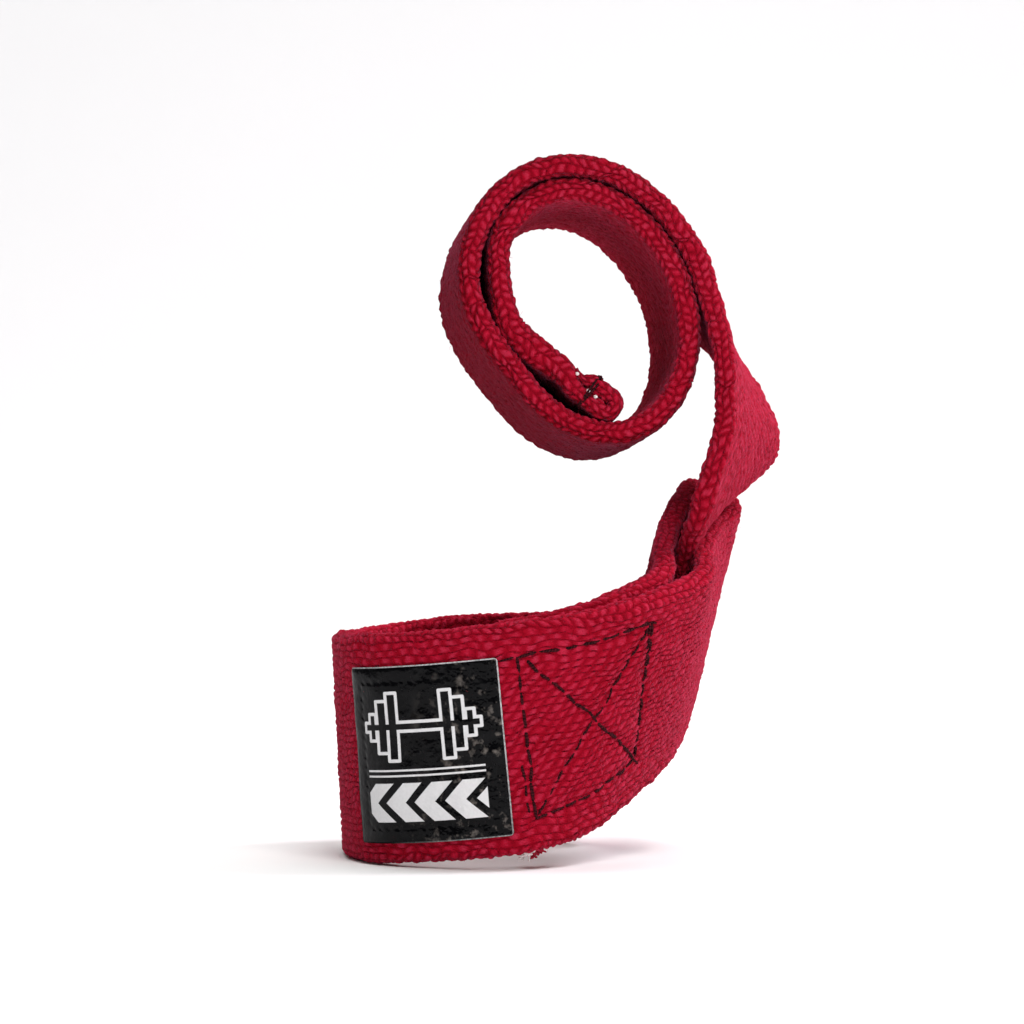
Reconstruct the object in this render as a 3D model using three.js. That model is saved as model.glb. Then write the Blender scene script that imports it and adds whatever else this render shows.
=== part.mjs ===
// Weightlifting strap: one strip of heavy cotton webbing, closed round a wrist by an eye in its own end.
// The strip runs from its cut end along the inside of the doubled stretch, round the eye, back over the
// outside, round the wrist, up through the eye and into a roll, as round a bar. It ends in a sewn hem.
// Millimetres. The origin is the middle of the wrist hollow, +Z points to the hand, +X to the palm.
import * as THREE from "three";

const UP = new THREE.Vector3(0, 0, 1);

// Webbing
const WEBBING_WIDTH = 38;
const WEBBING_THICKNESS = 3.8;
const SELVEDGE_ROUNDING = 1.3;
const ROUNDING_LIMIT = 0.9;
const LAYER_GAP = 0.35;

// Cuff round the wrist
const WRIST_DEPTH = 40;
const WRIST_BREADTH = 57;
const WRIST_SQUARENESS = 2.35;
const SKIN_GAP = 0.3;

// Eye and the doubled stretch that holds it
const SEWN_LENGTH = 26.5;
const EYE_CLEARANCE = 0.45;
const EYE_BULGE = 0.75;
const EYE_RISE = 2;
const EYE_OPENS_BEFORE = 9.5;
const EYE_OPEN_WITHIN = 6;
const TAIL_ENTRY = 6.5;
const TAIL_EXIT = 1.4;
const TAIL_PRESSED = 0.86;

// Roll of the tail, measured on the middle of its innermost full turn
const ROLL_LENGTH = 42.2;
const ROLL_BREADTH = 31.8;
const ROLL_LEAN = -69;
const ROLL_START = 12;
const ROLL_END = 500;
const ROLL_STEP = 8;
const INWARD_FROM = 150;
const INWARD_TO = 230;

// Hem at the tail's end
const HEM_LENGTH = 8.5;
const HEM_THICKNESS = 2.28;

// Label
const LABEL_LENGTH = 27.2;
const LABEL_HEIGHT = 29.2;
const LABEL_THICKNESS = 0.6;
const LABEL_GAP = 0.3;
const LABEL_SETBACK = 0.8;
const LABEL_DROP = 1;

const SAMPLES = 4;
const BIGHT_STEPS = 6;
const ROUNDING_STEPS = 2;
const LABEL_STEPS = 14;

const pitch = WEBBING_THICKNESS + LAYER_GAP;
const eyeRadius = WEBBING_THICKNESS * (1 + TAIL_PRESSED) / 2 + EYE_CLEARANCE;
const halfWidth = WEBBING_WIDTH / 2;

// Near leg, from the eye's bight to the label. Places are shares of the wrist's depth and breadth and of
// the webbing's width; lean is the direction of the webbing's width.
const NEAR_LEG = [
  { depth: 1.024, breadth: 0.414, rise: 0.621, lean: [0.198, -0.47, 0.85], thickness: 0.9 },
  { depth: 0.955, breadth: 0.095, rise: 0.463, lean: [0.17, -0.46, 0.865] },
  { depth: 0.855, breadth: -0.2, rise: 0.308, lean: [0.18, -0.44, 0.88] },
  { depth: 0.685, breadth: -0.382, rise: 0.2, lean: [0.13, -0.38, 0.92] },
  { depth: 0.465, breadth: -0.521, rise: 0.095, lean: [0.03, -0.24, 0.97] },
  { depth: 0.178, breadth: -0.589, rise: 0.037, lean: [-0.09, -0.06, 0.995] },
  { depth: 0.025, breadth: -0.582, rise: 0.016, lean: [-0.09, -0.02, 0.995] },
  { depth: -0.138, breadth: -0.544, rise: -0.003, lean: [-0.09, 0, 1] },
];
const SLIT_ROW = 2;
const SEAM_ROW = 3;

// Round the wrist, by the angle on its oval.
const WRIST_TURN = [
  { angle: -112, rise: -0.013, lean: -0.08 },
  { angle: -128, rise: -0.024, lean: -0.07 },
  { angle: -150, rise: -0.032, lean: -0.06 },
  { angle: -180, rise: -0.037, lean: -0.05 },
  { angle: -210, rise: -0.032, lean: -0.03 },
  { angle: -232, rise: -0.016, lean: -0.02 },
  { angle: -248, rise: 0, lean: 0 },
  { angle: -266, rise: 0.021, lean: 0 },
];

// Far leg, leaving the wrist and tilting to pass under the eye.
const FAR_LEG = [
  { depth: 0.2, breadth: 0.532, rise: 0.032, lean: [0, 0, 1] },
  { depth: 0.388, breadth: 0.509, rise: 0.032, lean: [0, 0.14, 0.99] },
  { depth: 0.52, breadth: 0.453, rise: -0.016, lean: [0.03, 0.58, 0.81] },
];

// The tail inside the eye, by its height on the eye's walls as a share of half the webbing's width,
// and the bend under the inner wall that leads to it, by its angle round that wall's lower edge.
const EYE_BEND = [100, 50];
const EYE_HEIGHTS = [-1, -0.342, 0.342, 1];
const BEND_SPREAD = 0.06;

// Tail from the eye's mouth to the roll. Its far edge bellies out where it turns in its own plane.
const TAIL = [
  { depth: 1.072, breadth: -0.028, rise: 1.121, lean: [0.31, 0.935, 0.18], width: 0.96 },
  { depth: 1.153, breadth: -0.011, rise: 1.353, lean: [0.29, 0.95, 0.02], width: 0.96 },
  { depth: 1.123, breadth: 0.002, rise: 1.542, lean: [0.19, 0.98, 0], width: 0.98 },
  { depth: 1.06, breadth: 0.011, rise: 1.726, lean: [0.07, 0.99, -0.02] },
];

const ROLL_CENTRE = { depth: 0.431, breadth: 0.014, rise: 1.863 };
const ROLL_AXIS = new THREE.Vector3(-0.1, 0.99, -0.063).normalize();

// The innermost stretch, which leaves the turn and lies straight across the roll up to the hem.
// Reach is a share of half the roll's length.
const ROLL_TIP = [
  { angle: 166, reach: 0.735, thickness: 1 },
  { angle: 191.7, reach: 0.63, thickness: 1 },
  { angle: 223.3, reach: 0.505, thickness: 1 },
  { angle: 245, reach: 0.507, thickness: 0.8 },
  { angle: 258, reach: 0.63, thickness: 0.62 },
  { angle: 275.3, reach: 0.8, thickness: 0.6 },
];

const radians = THREE.MathUtils.degToRad;
const vector = (list) => new THREE.Vector3(...list);

function smoothStep(share) {
  const t = THREE.MathUtils.clamp(share, 0, 1);
  return t * t * (3 - 2 * t);
}

/** One row of the route as numbers: place, width direction, share of width, share of thickness. */
function rowOf(place, lean, width = 1, thickness = 1) {
  return [...place.toArray(), ...lean.toArray(), width, thickness];
}

function placeOf({ depth, breadth, rise }) {
  return new THREE.Vector3(depth * WRIST_DEPTH, breadth * WRIST_BREADTH, rise * WEBBING_WIDTH);
}

function tableRow(row) {
  return rowOf(placeOf(row), vector(row.lean), row.width, row.thickness);
}

/** Place on the middle of the webbing where it lies on the wrist's rounded oval. */
function wristRow({ angle, rise, lean }) {
  const outset = SKIN_GAP + WEBBING_THICKNESS / 2;
  const power = 2 / WRIST_SQUARENESS;
  const cos = Math.cos(radians(angle));
  const sin = Math.sin(radians(angle));
  const place = new THREE.Vector3(
    Math.sign(cos) * (WRIST_DEPTH / 2 + outset) * Math.abs(cos) ** power,
    Math.sign(sin) * (WRIST_BREADTH / 2 + outset) * Math.abs(sin) ** power,
    rise * WEBBING_WIDTH,
  );
  return rowOf(place, new THREE.Vector3(lean, 0, 1));
}

/** The tail pressed between the eye's walls, after a bend round the inner wall's lower edge. */
function eyeRows() {
  const far = tableRow(NEAR_LEG[0]);
  const near = tableRow(NEAR_LEG[SLIT_ROW]);
  const bight = vector(far.slice(0, 3));
  const slit = vector(near.slice(0, 3));
  const bightLean = vector(far.slice(3, 6)).normalize();
  const slitLean = vector(near.slice(3, 6)).normalize();
  const length = bight.distanceTo(slit);
  const up = bightLean.clone().add(slitLean).normalize();
  const wallPlace = (share, height) => {
    const lean = slitLean.clone().lerp(bightLean, share).normalize();
    return slit.clone().lerp(bight, share).addScaledVector(lean, height);
  };
  const rows = [];
  for (const heightShare of EYE_HEIGHTS) {
    const start = wallPlace(TAIL_ENTRY / length, heightShare * halfWidth);
    const end = wallPlace(1 - TAIL_EXIT / length, heightShare * halfWidth);
    const middle = start.clone().lerp(end, 0.5);
    const along = end.clone().sub(start).normalize();
    const inward = new THREE.Vector3().crossVectors(along, up).normalize().negate();
    const width = start.distanceTo(end) / WEBBING_WIDTH;
    if (heightShare === EYE_HEIGHTS[0]) {
      const hub = middle.clone().addScaledVector(inward, 2 * eyeRadius);
      for (const angle of EYE_BEND) {
        const place = hub.clone()
          .addScaledVector(inward, -eyeRadius * Math.cos(radians(angle)))
          .addScaledVector(up, -eyeRadius * Math.sin(radians(angle)));
        rows.push(rowOf(place, along, width + BEND_SPREAD, (1 + TAIL_PRESSED) / 2));
      }
    }
    rows.push(rowOf(middle.addScaledVector(inward, eyeRadius), along, width, TAIL_PRESSED));
  }
  return rows;
}

const rollAcross = new THREE.Vector3().crossVectors(ROLL_AXIS, UP).normalize();
const rollUpward = new THREE.Vector3().crossVectors(rollAcross, ROLL_AXIS).normalize();

/** How many layers a turn lies outside the innermost full turn, at an angle in degrees. */
function layersOut(angle) {
  if (angle > 360) {
    return layersOut(angle - 360) - 1;
  }
  return 1 - smoothStep((angle - INWARD_FROM) / (INWARD_TO - INWARD_FROM));
}

function rollDirection(angle) {
  const radian = radians(angle);
  return rollAcross.clone().multiplyScalar(Math.cos(radian)).addScaledVector(rollUpward, Math.sin(radian));
}

function rollRow(angle) {
  const [long, short] = [ROLL_LENGTH / 2, ROLL_BREADTH / 2];
  const seen = radians(angle - ROLL_LEAN);
  const oval = Math.atan2(Math.sin(seen) * long, Math.cos(seen) * short);
  const longAxis = rollDirection(ROLL_LEAN);
  const shortAxis = rollDirection(ROLL_LEAN + 90);
  const outward = longAxis.clone().multiplyScalar(Math.cos(oval) / long)
    .addScaledVector(shortAxis, Math.sin(oval) / short)
    .normalize();
  const place = placeOf(ROLL_CENTRE)
    .addScaledVector(longAxis, long * Math.cos(oval))
    .addScaledVector(shortAxis, short * Math.sin(oval))
    .addScaledVector(outward, pitch * layersOut(angle));
  return rowOf(place, ROLL_AXIS);
}

function tipRow({ angle, reach, thickness }) {
  const place = placeOf(ROLL_CENTRE).addScaledVector(rollDirection(angle), reach * ROLL_LENGTH / 2);
  return rowOf(place, ROLL_AXIS, 1, thickness);
}

/** Centripetal Catmull-Rom through rows of numbers whose first three are a place. */
function spline(rows, samples) {
  const mirrored = (a, b) => a.map((value, i) => 2 * value - b[i]);
  const all = [mirrored(rows[0], rows[1]), ...rows, mirrored(rows.at(-1), rows.at(-2))];
  const knot = (a, b) => Math.sqrt(Math.hypot(a[0] - b[0], a[1] - b[1], a[2] - b[2]));
  const blend = (a, b, ta, tb, t) => a.map((value, i) => ((tb - t) * value + (t - ta) * b[i]) / (tb - ta));
  const out = [];
  for (let k = 1; k < all.length - 2; k += 1) {
    const [p0, p1, p2, p3] = all.slice(k - 1, k + 3);
    const t1 = knot(p0, p1);
    const t2 = t1 + knot(p1, p2);
    const t3 = t2 + knot(p2, p3);
    for (let j = 0; j < samples; j += 1) {
      const t = t1 + (t2 - t1) * j / samples;
      const a = blend(p0, p1, 0, t1, t);
      const b = blend(p1, p2, t1, t2, t);
      const c = blend(p2, p3, t2, t3, t);
      out.push(blend(blend(a, b, 0, t2, t), blend(b, c, t1, t3, t), t1, t2, t));
    }
  }
  out.push(rows.at(-1));
  return out;
}

/** Stations of a strip: place, width direction, run direction, face direction and distance along it. */
function stationsOf(rows) {
  const places = rows.map((row) => vector(row.slice(0, 3)));
  let distance = 0;
  return rows.map((row, i) => {
    const before = places[Math.max(i - 1, 0)];
    const after = places[Math.min(i + 1, places.length - 1)];
    const across = vector(row.slice(3, 6)).normalize();
    const run = after.clone().sub(before).normalize();
    distance += i > 0 ? places[i].distanceTo(places[i - 1]) : 0;
    const face = new THREE.Vector3().crossVectors(across, run).normalize();
    return { place: places[i], across, run, face, width: row[6], thickness: row[7], distance };
  });
}

/** A station between two others, at a distance along the strip. */
function stationAt(stations, distance) {
  const next = Math.max(1, stations.findIndex((station) => station.distance >= distance));
  const [a, b] = [stations[next - 1], stations[next]];
  const share = (distance - a.distance) / (b.distance - a.distance);
  return {
    place: a.place.clone().lerp(b.place, share),
    across: a.across.clone().lerp(b.across, share).normalize(),
    run: a.run.clone().lerp(b.run, share).normalize(),
    face: a.face.clone().lerp(b.face, share).normalize(),
    width: THREE.MathUtils.lerp(a.width, b.width, share),
    thickness: THREE.MathUtils.lerp(a.thickness, b.thickness, share),
    distance,
  };
}

function offset(station, towardsFace, towardsEdge = 0) {
  return station.place.clone()
    .addScaledVector(station.face, towardsFace)
    .addScaledVector(station.across, towardsEdge);
}

const leadRows = [
  ...NEAR_LEG.map(tableRow),
  ...WRIST_TURN.map(wristRow),
  ...FAR_LEG.map(tableRow),
  ...eyeRows(),
  ...TAIL.map(tableRow),
];
const rollRows = [];
for (let angle = ROLL_START; angle <= ROLL_END; angle += ROLL_STEP) {
  rollRows.push(rollRow(angle));
}
const mainStrip = stationsOf([
  ...spline([...leadRows, ...rollRows.slice(0, 2)], SAMPLES).slice(0, leadRows.length * SAMPLES),
  ...rollRows.slice(0, -1),
  ...spline([rollRows.at(-3), rollRows.at(-1), ...ROLL_TIP.map(tipRow)], SAMPLES).slice(SAMPLES),
]);
const slitDistance = mainStrip[SLIT_ROW * SAMPLES].distance;
const seamDistance = mainStrip[SEAM_ROW * SAMPLES].distance;
const cutDistance = seamDistance + SEWN_LENGTH;

/** How far the inner layer's middle lies inside the outer layer's, at a distance from the bight. */
function layerSpread(distance) {
  const open = smoothStep(
    (slitDistance + EYE_OPENS_BEFORE - distance) / (EYE_OPENS_BEFORE + EYE_OPEN_WITHIN),
  );
  const bulge = EYE_BULGE * Math.sin(Math.PI * THREE.MathUtils.clamp(distance / slitDistance, 0, 1));
  return pitch + (2 * eyeRadius - pitch) * open + bulge;
}

/** The inner layer, from the cut end to the bight. */
function innerLayer() {
  const covered = mainStrip.filter((station) => station.distance < cutDistance);
  return [...covered, stationAt(mainStrip, cutDistance)].reverse().map((station) => {
    const rise = EYE_RISE * Math.max(0, 1 - station.distance / seamDistance);
    return rowOf(offset(station, -layerSpread(station.distance), rise), station.across);
  });
}

/** Half a turn between two layers, bulging away from where the strip's first station runs. */
function bightRows(station, radius, direction, rise) {
  const centre = offset(station, -radius);
  const rows = [];
  for (let step = 1; step < BIGHT_STEPS; step += 1) {
    const turn = Math.PI * step / BIGHT_STEPS;
    const place = centre.clone()
      .addScaledVector(station.face, -radius * Math.cos(turn))
      .addScaledVector(station.run, direction * radius * Math.sin(turn))
      .addScaledVector(station.across, rise * (1 - step / BIGHT_STEPS));
    rows.push(rowOf(place, station.across, station.width, station.thickness));
  }
  return rows;
}

/** The hem: half a turn at the tail's end and the layer that lies back on the strip. */
function hemRows() {
  const end = mainStrip.at(-1);
  const share = HEM_THICKNESS / WEBBING_THICKNESS;
  const turn = bightRows(end, (HEM_THICKNESS + LAYER_GAP) / 2, 1, 0).reverse();
  const back = [];
  for (let step = 0; step <= BIGHT_STEPS; step += 1) {
    const station = stationAt(mainStrip, end.distance - HEM_LENGTH * step / BIGHT_STEPS);
    const spread = (station.thickness + share) * WEBBING_THICKNESS / 2 + LAYER_GAP;
    back.push(rowOf(offset(station, -spread), station.across, 1, share));
  }
  return [...turn, ...back];
}

/** Points of the webbing's section: a flat strip with rounded selvedges. */
function webbingSection(station) {
  const flat = station.thickness * WEBBING_THICKNESS / 2;
  const half = station.width * halfWidth;
  const radius = Math.min(SELVEDGE_ROUNDING, ROUNDING_LIMIT * flat);
  const points = [];
  for (const [edge, side, from] of [[1, 1, 0], [-1, 1, 90], [-1, -1, 180], [1, -1, 270]]) {
    for (let step = 0; step <= ROUNDING_STEPS; step += 1) {
      const turn = radians(from + 90 * step / ROUNDING_STEPS);
      points.push([
        edge * (half - radius) + radius * Math.cos(turn),
        side * (flat - radius) + radius * Math.sin(turn),
      ]);
    }
  }
  return points;
}

function labelSection() {
  const [half, flat] = [LABEL_HEIGHT / 2, LABEL_THICKNESS / 2];
  return [[half, flat], [-half, flat], [-half, -flat], [half, -flat]];
}

/** Closed skin round a strip: one ring of section points a station, and a cap at each end. */
function sweep(stations, sectionOf) {
  const rings = stations.map((station) => sectionOf(station)
    .map(([towardsEdge, towardsFace]) => offset(station, towardsFace, towardsEdge)));
  const size = rings[0].length;
  const indices = [];
  for (let i = 0; i + 1 < rings.length; i += 1) {
    for (let j = 0; j < size; j += 1) {
      const [a, b] = [i * size + j, i * size + (j + 1) % size];
      indices.push(a, a + size, b, b, a + size, b + size);
    }
  }
  const last = (rings.length - 1) * size;
  for (let j = 1; j + 1 < size; j += 1) {
    indices.push(0, j, j + 1);
    indices.push(last, last + j + 1, last + j);
  }
  const geometry = new THREE.BufferGeometry();
  geometry.setAttribute("position", new THREE.Float32BufferAttribute(
    rings.flat().flatMap((point) => point.toArray()), 3));
  geometry.setIndex(indices);
  geometry.computeVertexNormals();
  return geometry;
}

function strapMesh() {
  const rows = [
    ...innerLayer(),
    ...bightRows(mainStrip[0], eyeRadius, -1, EYE_RISE),
    ...mainStrip.map((s) => rowOf(s.place, s.across, s.width, s.thickness)),
    ...hemRows(),
  ];
  const material = new THREE.MeshStandardMaterial({ color: 0xb01830, roughness: 0.95, metalness: 0 });
  const mesh = new THREE.Mesh(sweep(stationsOf(rows), webbingSection), material);
  mesh.name = "strap";
  return mesh;
}

/** The label: a thin plate curved to the webbing's outside, just past the doubled stretch. */
function labelMesh() {
  const stations = [];
  for (let step = 0; step <= LABEL_STEPS; step += 1) {
    const distance = cutDistance + LABEL_SETBACK + LABEL_LENGTH * step / LABEL_STEPS;
    const station = stationAt(mainStrip, distance);
    const lift = (WEBBING_THICKNESS + LABEL_THICKNESS) / 2 + LABEL_GAP;
    stations.push({ ...station, place: offset(station, lift, -LABEL_DROP) });
  }
  const material = new THREE.MeshStandardMaterial({ color: 0x0c0c0e, roughness: 0.28, metalness: 0 });
  const mesh = new THREE.Mesh(sweep(stations, labelSection), material);
  mesh.name = "label";
  return mesh;
}

const strap = new THREE.Group();
strap.add(strapMesh(), labelMesh());

export default strap;
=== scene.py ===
"""Looks of a weightlifting strap: heavy red cotton webbing, closed round a wrist by its own sewn eye.

The strip runs from its cut end along the inside of the doubled stretch, round the eye's bight, back over
the outside, round the wrist, up through the eye and into a roll that ends in a sewn hem. Lengths are in
millimetres until a mesh is made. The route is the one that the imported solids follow.
"""
import logging
import math
from dataclasses import dataclass
from enum import Enum
from typing import Mapping, Optional, Sequence, Union

import bpy
import numpy as np
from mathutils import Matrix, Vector


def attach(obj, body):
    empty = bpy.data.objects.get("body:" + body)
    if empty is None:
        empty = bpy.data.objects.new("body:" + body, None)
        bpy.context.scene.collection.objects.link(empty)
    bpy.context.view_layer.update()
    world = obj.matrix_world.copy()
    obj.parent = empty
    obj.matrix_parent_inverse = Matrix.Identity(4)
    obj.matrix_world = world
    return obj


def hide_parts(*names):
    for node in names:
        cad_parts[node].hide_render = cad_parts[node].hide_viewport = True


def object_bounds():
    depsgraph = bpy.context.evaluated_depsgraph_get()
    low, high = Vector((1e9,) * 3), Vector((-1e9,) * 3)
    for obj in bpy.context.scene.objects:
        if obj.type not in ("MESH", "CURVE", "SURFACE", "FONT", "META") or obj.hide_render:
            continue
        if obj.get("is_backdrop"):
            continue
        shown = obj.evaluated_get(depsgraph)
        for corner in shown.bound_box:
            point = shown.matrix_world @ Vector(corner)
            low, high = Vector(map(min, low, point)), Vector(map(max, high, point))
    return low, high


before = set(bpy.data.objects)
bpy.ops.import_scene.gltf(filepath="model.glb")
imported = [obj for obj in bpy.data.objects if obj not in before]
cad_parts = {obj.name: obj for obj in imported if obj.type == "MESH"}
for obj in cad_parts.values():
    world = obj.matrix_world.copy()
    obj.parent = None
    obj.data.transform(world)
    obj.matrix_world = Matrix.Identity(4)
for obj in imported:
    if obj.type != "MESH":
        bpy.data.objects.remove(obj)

log = logging.getLogger("strap")

MM = 0.001
UP = np.array([0.0, 0.0, 1.0])
BODY = "root"

Array = np.ndarray
Reach = Union[float, np.ndarray]
Colour = tuple[float, float, float]


def unit(vectors: Array) -> Array:
    """Vectors of length one."""
    return vectors / np.linalg.norm(vectors, axis=-1, keepdims=True)


def smooth_step(share: Array) -> Array:
    """Eases a share from 0 to 1, flat at both ends."""
    t = np.clip(share, 0.0, 1.0)
    return t * t * (3.0 - 2.0 * t)


def near(distance: Array, width: float) -> Array:
    """A soft bump of height one where distance is nought."""
    return np.exp(-((distance / width) ** 2))


class Ripple:
    """Smooth irregularity in space, the same in each run."""

    def __init__(self, seed: int, longest: float, shortest: float, waves: int = 14) -> None:
        """Draws the waves.

        Args:
            seed: number that picks the waves.
            longest: longest wave, in millimetres.
            shortest: shortest wave, in millimetres.
            waves: how many waves are added up.
        """
        draw = np.random.default_rng(seed)
        lengths = shortest * (longest / shortest) ** draw.random(waves)
        self.waves = unit(draw.normal(size=(waves, 3))) * (2.0 * math.pi / lengths)[:, None]
        self.phases = draw.random(waves) * 2.0 * math.pi

    def at(self, places: Array) -> Array:
        """Values of about -1 to 1 at places.

        Args:
            places: points whose last axis is x, y and z.

        Returns:
            One number for each place.
        """
        turns = places @ self.waves.T + self.phases
        return np.sin(turns).sum(axis=-1) / math.sqrt(len(self.phases) * 0.5) * 0.6


# Route of the strip


@dataclass(frozen=True)
class Row:
    """One row of the route: a place in shares of the wrist's sizes, and the webbing's width direction."""

    depth: float
    breadth: float
    rise: float
    lean: tuple[float, float, float]
    width: float = 1.0
    thickness: float = 1.0


@dataclass(frozen=True)
class TurnRow:
    """One row of the stretch that lies on the wrist's oval."""

    angle: float
    rise: float
    lean: float


@dataclass(frozen=True)
class TipRow:
    """One row of the innermost stretch of the roll. Reach is a share of half the roll's length."""

    angle: float
    reach: float
    thickness: float


NEAR_LEG = (
    Row(1.024, 0.414, 0.621, (0.198, -0.47, 0.85), thickness=0.9),
    Row(0.955, 0.095, 0.463, (0.17, -0.46, 0.865)),
    Row(0.855, -0.2, 0.308, (0.18, -0.44, 0.88)),
    Row(0.685, -0.382, 0.2, (0.13, -0.38, 0.92)),
    Row(0.465, -0.521, 0.095, (0.03, -0.24, 0.97)),
    Row(0.178, -0.589, 0.037, (-0.09, -0.06, 0.995)),
    Row(0.025, -0.582, 0.016, (-0.09, -0.02, 0.995)),
    Row(-0.138, -0.544, -0.003, (-0.09, 0.0, 1.0)),
)
SLIT_ROW = 2
SEAM_ROW = 3

WRIST_TURN = (
    TurnRow(-112.0, -0.013, -0.08),
    TurnRow(-128.0, -0.024, -0.07),
    TurnRow(-150.0, -0.032, -0.06),
    TurnRow(-180.0, -0.037, -0.05),
    TurnRow(-210.0, -0.032, -0.03),
    TurnRow(-232.0, -0.016, -0.02),
    TurnRow(-248.0, 0.0, 0.0),
    TurnRow(-266.0, 0.021, 0.0),
)

FAR_LEG = (
    Row(0.2, 0.532, 0.032, (0.0, 0.0, 1.0)),
    Row(0.388, 0.509, 0.032, (0.0, 0.14, 0.99)),
    Row(0.52, 0.453, -0.016, (0.03, 0.58, 0.81)),
)

TAIL = (
    Row(1.072, -0.028, 1.121, (0.31, 0.935, 0.18), width=0.96),
    Row(1.153, -0.011, 1.353, (0.29, 0.95, 0.02), width=0.96),
    Row(1.123, 0.002, 1.542, (0.19, 0.98, 0.0), width=0.98),
    Row(1.06, 0.011, 1.726, (0.07, 0.99, -0.02)),
)

ROLL_TIP = (
    TipRow(166.0, 0.735, 1.0),
    TipRow(191.7, 0.64, 1.12),
    TipRow(223.3, 0.53, 1.26),
    TipRow(245.0, 0.53, 1.08),
    TipRow(258.0, 0.64, 0.82),
    TipRow(275.3, 0.8, 0.76),
)


class Strip:
    """Stations along a strip: places, width directions, shares of width and thickness, distances."""

    def __init__(
        self, rows: Array, distance: Optional[Array] = None, ways: Optional[tuple[Array, Array]] = None
    ) -> None:
        """Works out the directions.

        Args:
            rows: place, width direction, share of width and share of thickness in each row.
            distance: distance along the strip of each row, or None to measure it.
            ways: run and face directions, or None to work them out.
        """
        self.rows = rows
        self.place = rows[:, 0:3]
        self.across = unit(rows[:, 3:6])
        self.width = rows[:, 6]
        self.thickness = rows[:, 7]
        if distance is None:
            steps = np.linalg.norm(np.diff(self.place, axis=0), axis=1)
            distance = np.concatenate([[0.0], np.cumsum(steps)])
        self.distance = distance
        if ways is None:
            ahead = np.concatenate([self.place[1:], self.place[-1:]])
            behind = np.concatenate([self.place[:1], self.place[:-1]])
            run = unit(ahead - behind)
            ways = run, unit(np.cross(self.across, run))
        self.run, self.face = ways

    def at(self, distances: Array) -> "Strip":
        """Stations between these ones.

        Args:
            distances: distances along the strip.

        Returns:
            A strip with one station at each distance.
        """
        def between(columns: Array) -> Array:
            """Columns of numbers, read between the stations."""
            return np.stack([np.interp(distances, self.distance, column) for column in columns.T], axis=1)

        ways = unit(between(self.run)), unit(between(self.face))
        return Strip(between(self.rows), np.asarray(distances, float), ways)

    def point(self, towards_face: Reach, towards_edge: Reach) -> Array:
        """Points beside the stations.

        Args:
            towards_face: how far each lies along its station's face direction.
            towards_edge: how far each lies along its station's width direction.

        Returns:
            One point for each station.
        """
        face = np.asarray(towards_face, float)[..., None] * self.face
        edge = np.asarray(towards_edge, float)[..., None] * self.across
        return self.place + face + edge


def spline(rows: Array, samples: int) -> Array:
    """Centripetal Catmull-Rom curve through rows whose first three numbers are a place.

    Args:
        rows: the rows that the curve passes through.
        samples: how many steps it takes from each row to the next.

    Returns:
        The rows of the curve, the last one included.
    """
    every = np.vstack([2 * rows[0] - rows[1], rows, 2 * rows[-1] - rows[-2]])
    shares = np.arange(samples)[:, None] / samples
    found = []
    for p0, p1, p2, p3 in zip(every, every[1:], every[2:], every[3:]):
        t1, t2, t3 = np.cumsum([
            math.sqrt(np.linalg.norm(b[:3] - a[:3])) for a, b in ((p0, p1), (p1, p2), (p2, p3))
        ])
        t = t1 + (t2 - t1) * shares
        a = (p0 * (t1 - t) + p1 * t) / t1
        b = (p1 * (t2 - t) + p2 * (t - t1)) / (t2 - t1)
        c = (p2 * (t3 - t) + p3 * (t - t2)) / (t3 - t2)
        d = (a * (t2 - t) + b * t) / t2
        e = (b * (t3 - t) + c * (t - t1)) / (t3 - t1)
        found.append((d * (t2 - t) + e * (t - t1)) / (t2 - t1))
    return np.vstack([*found, rows[-1:]])


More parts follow.
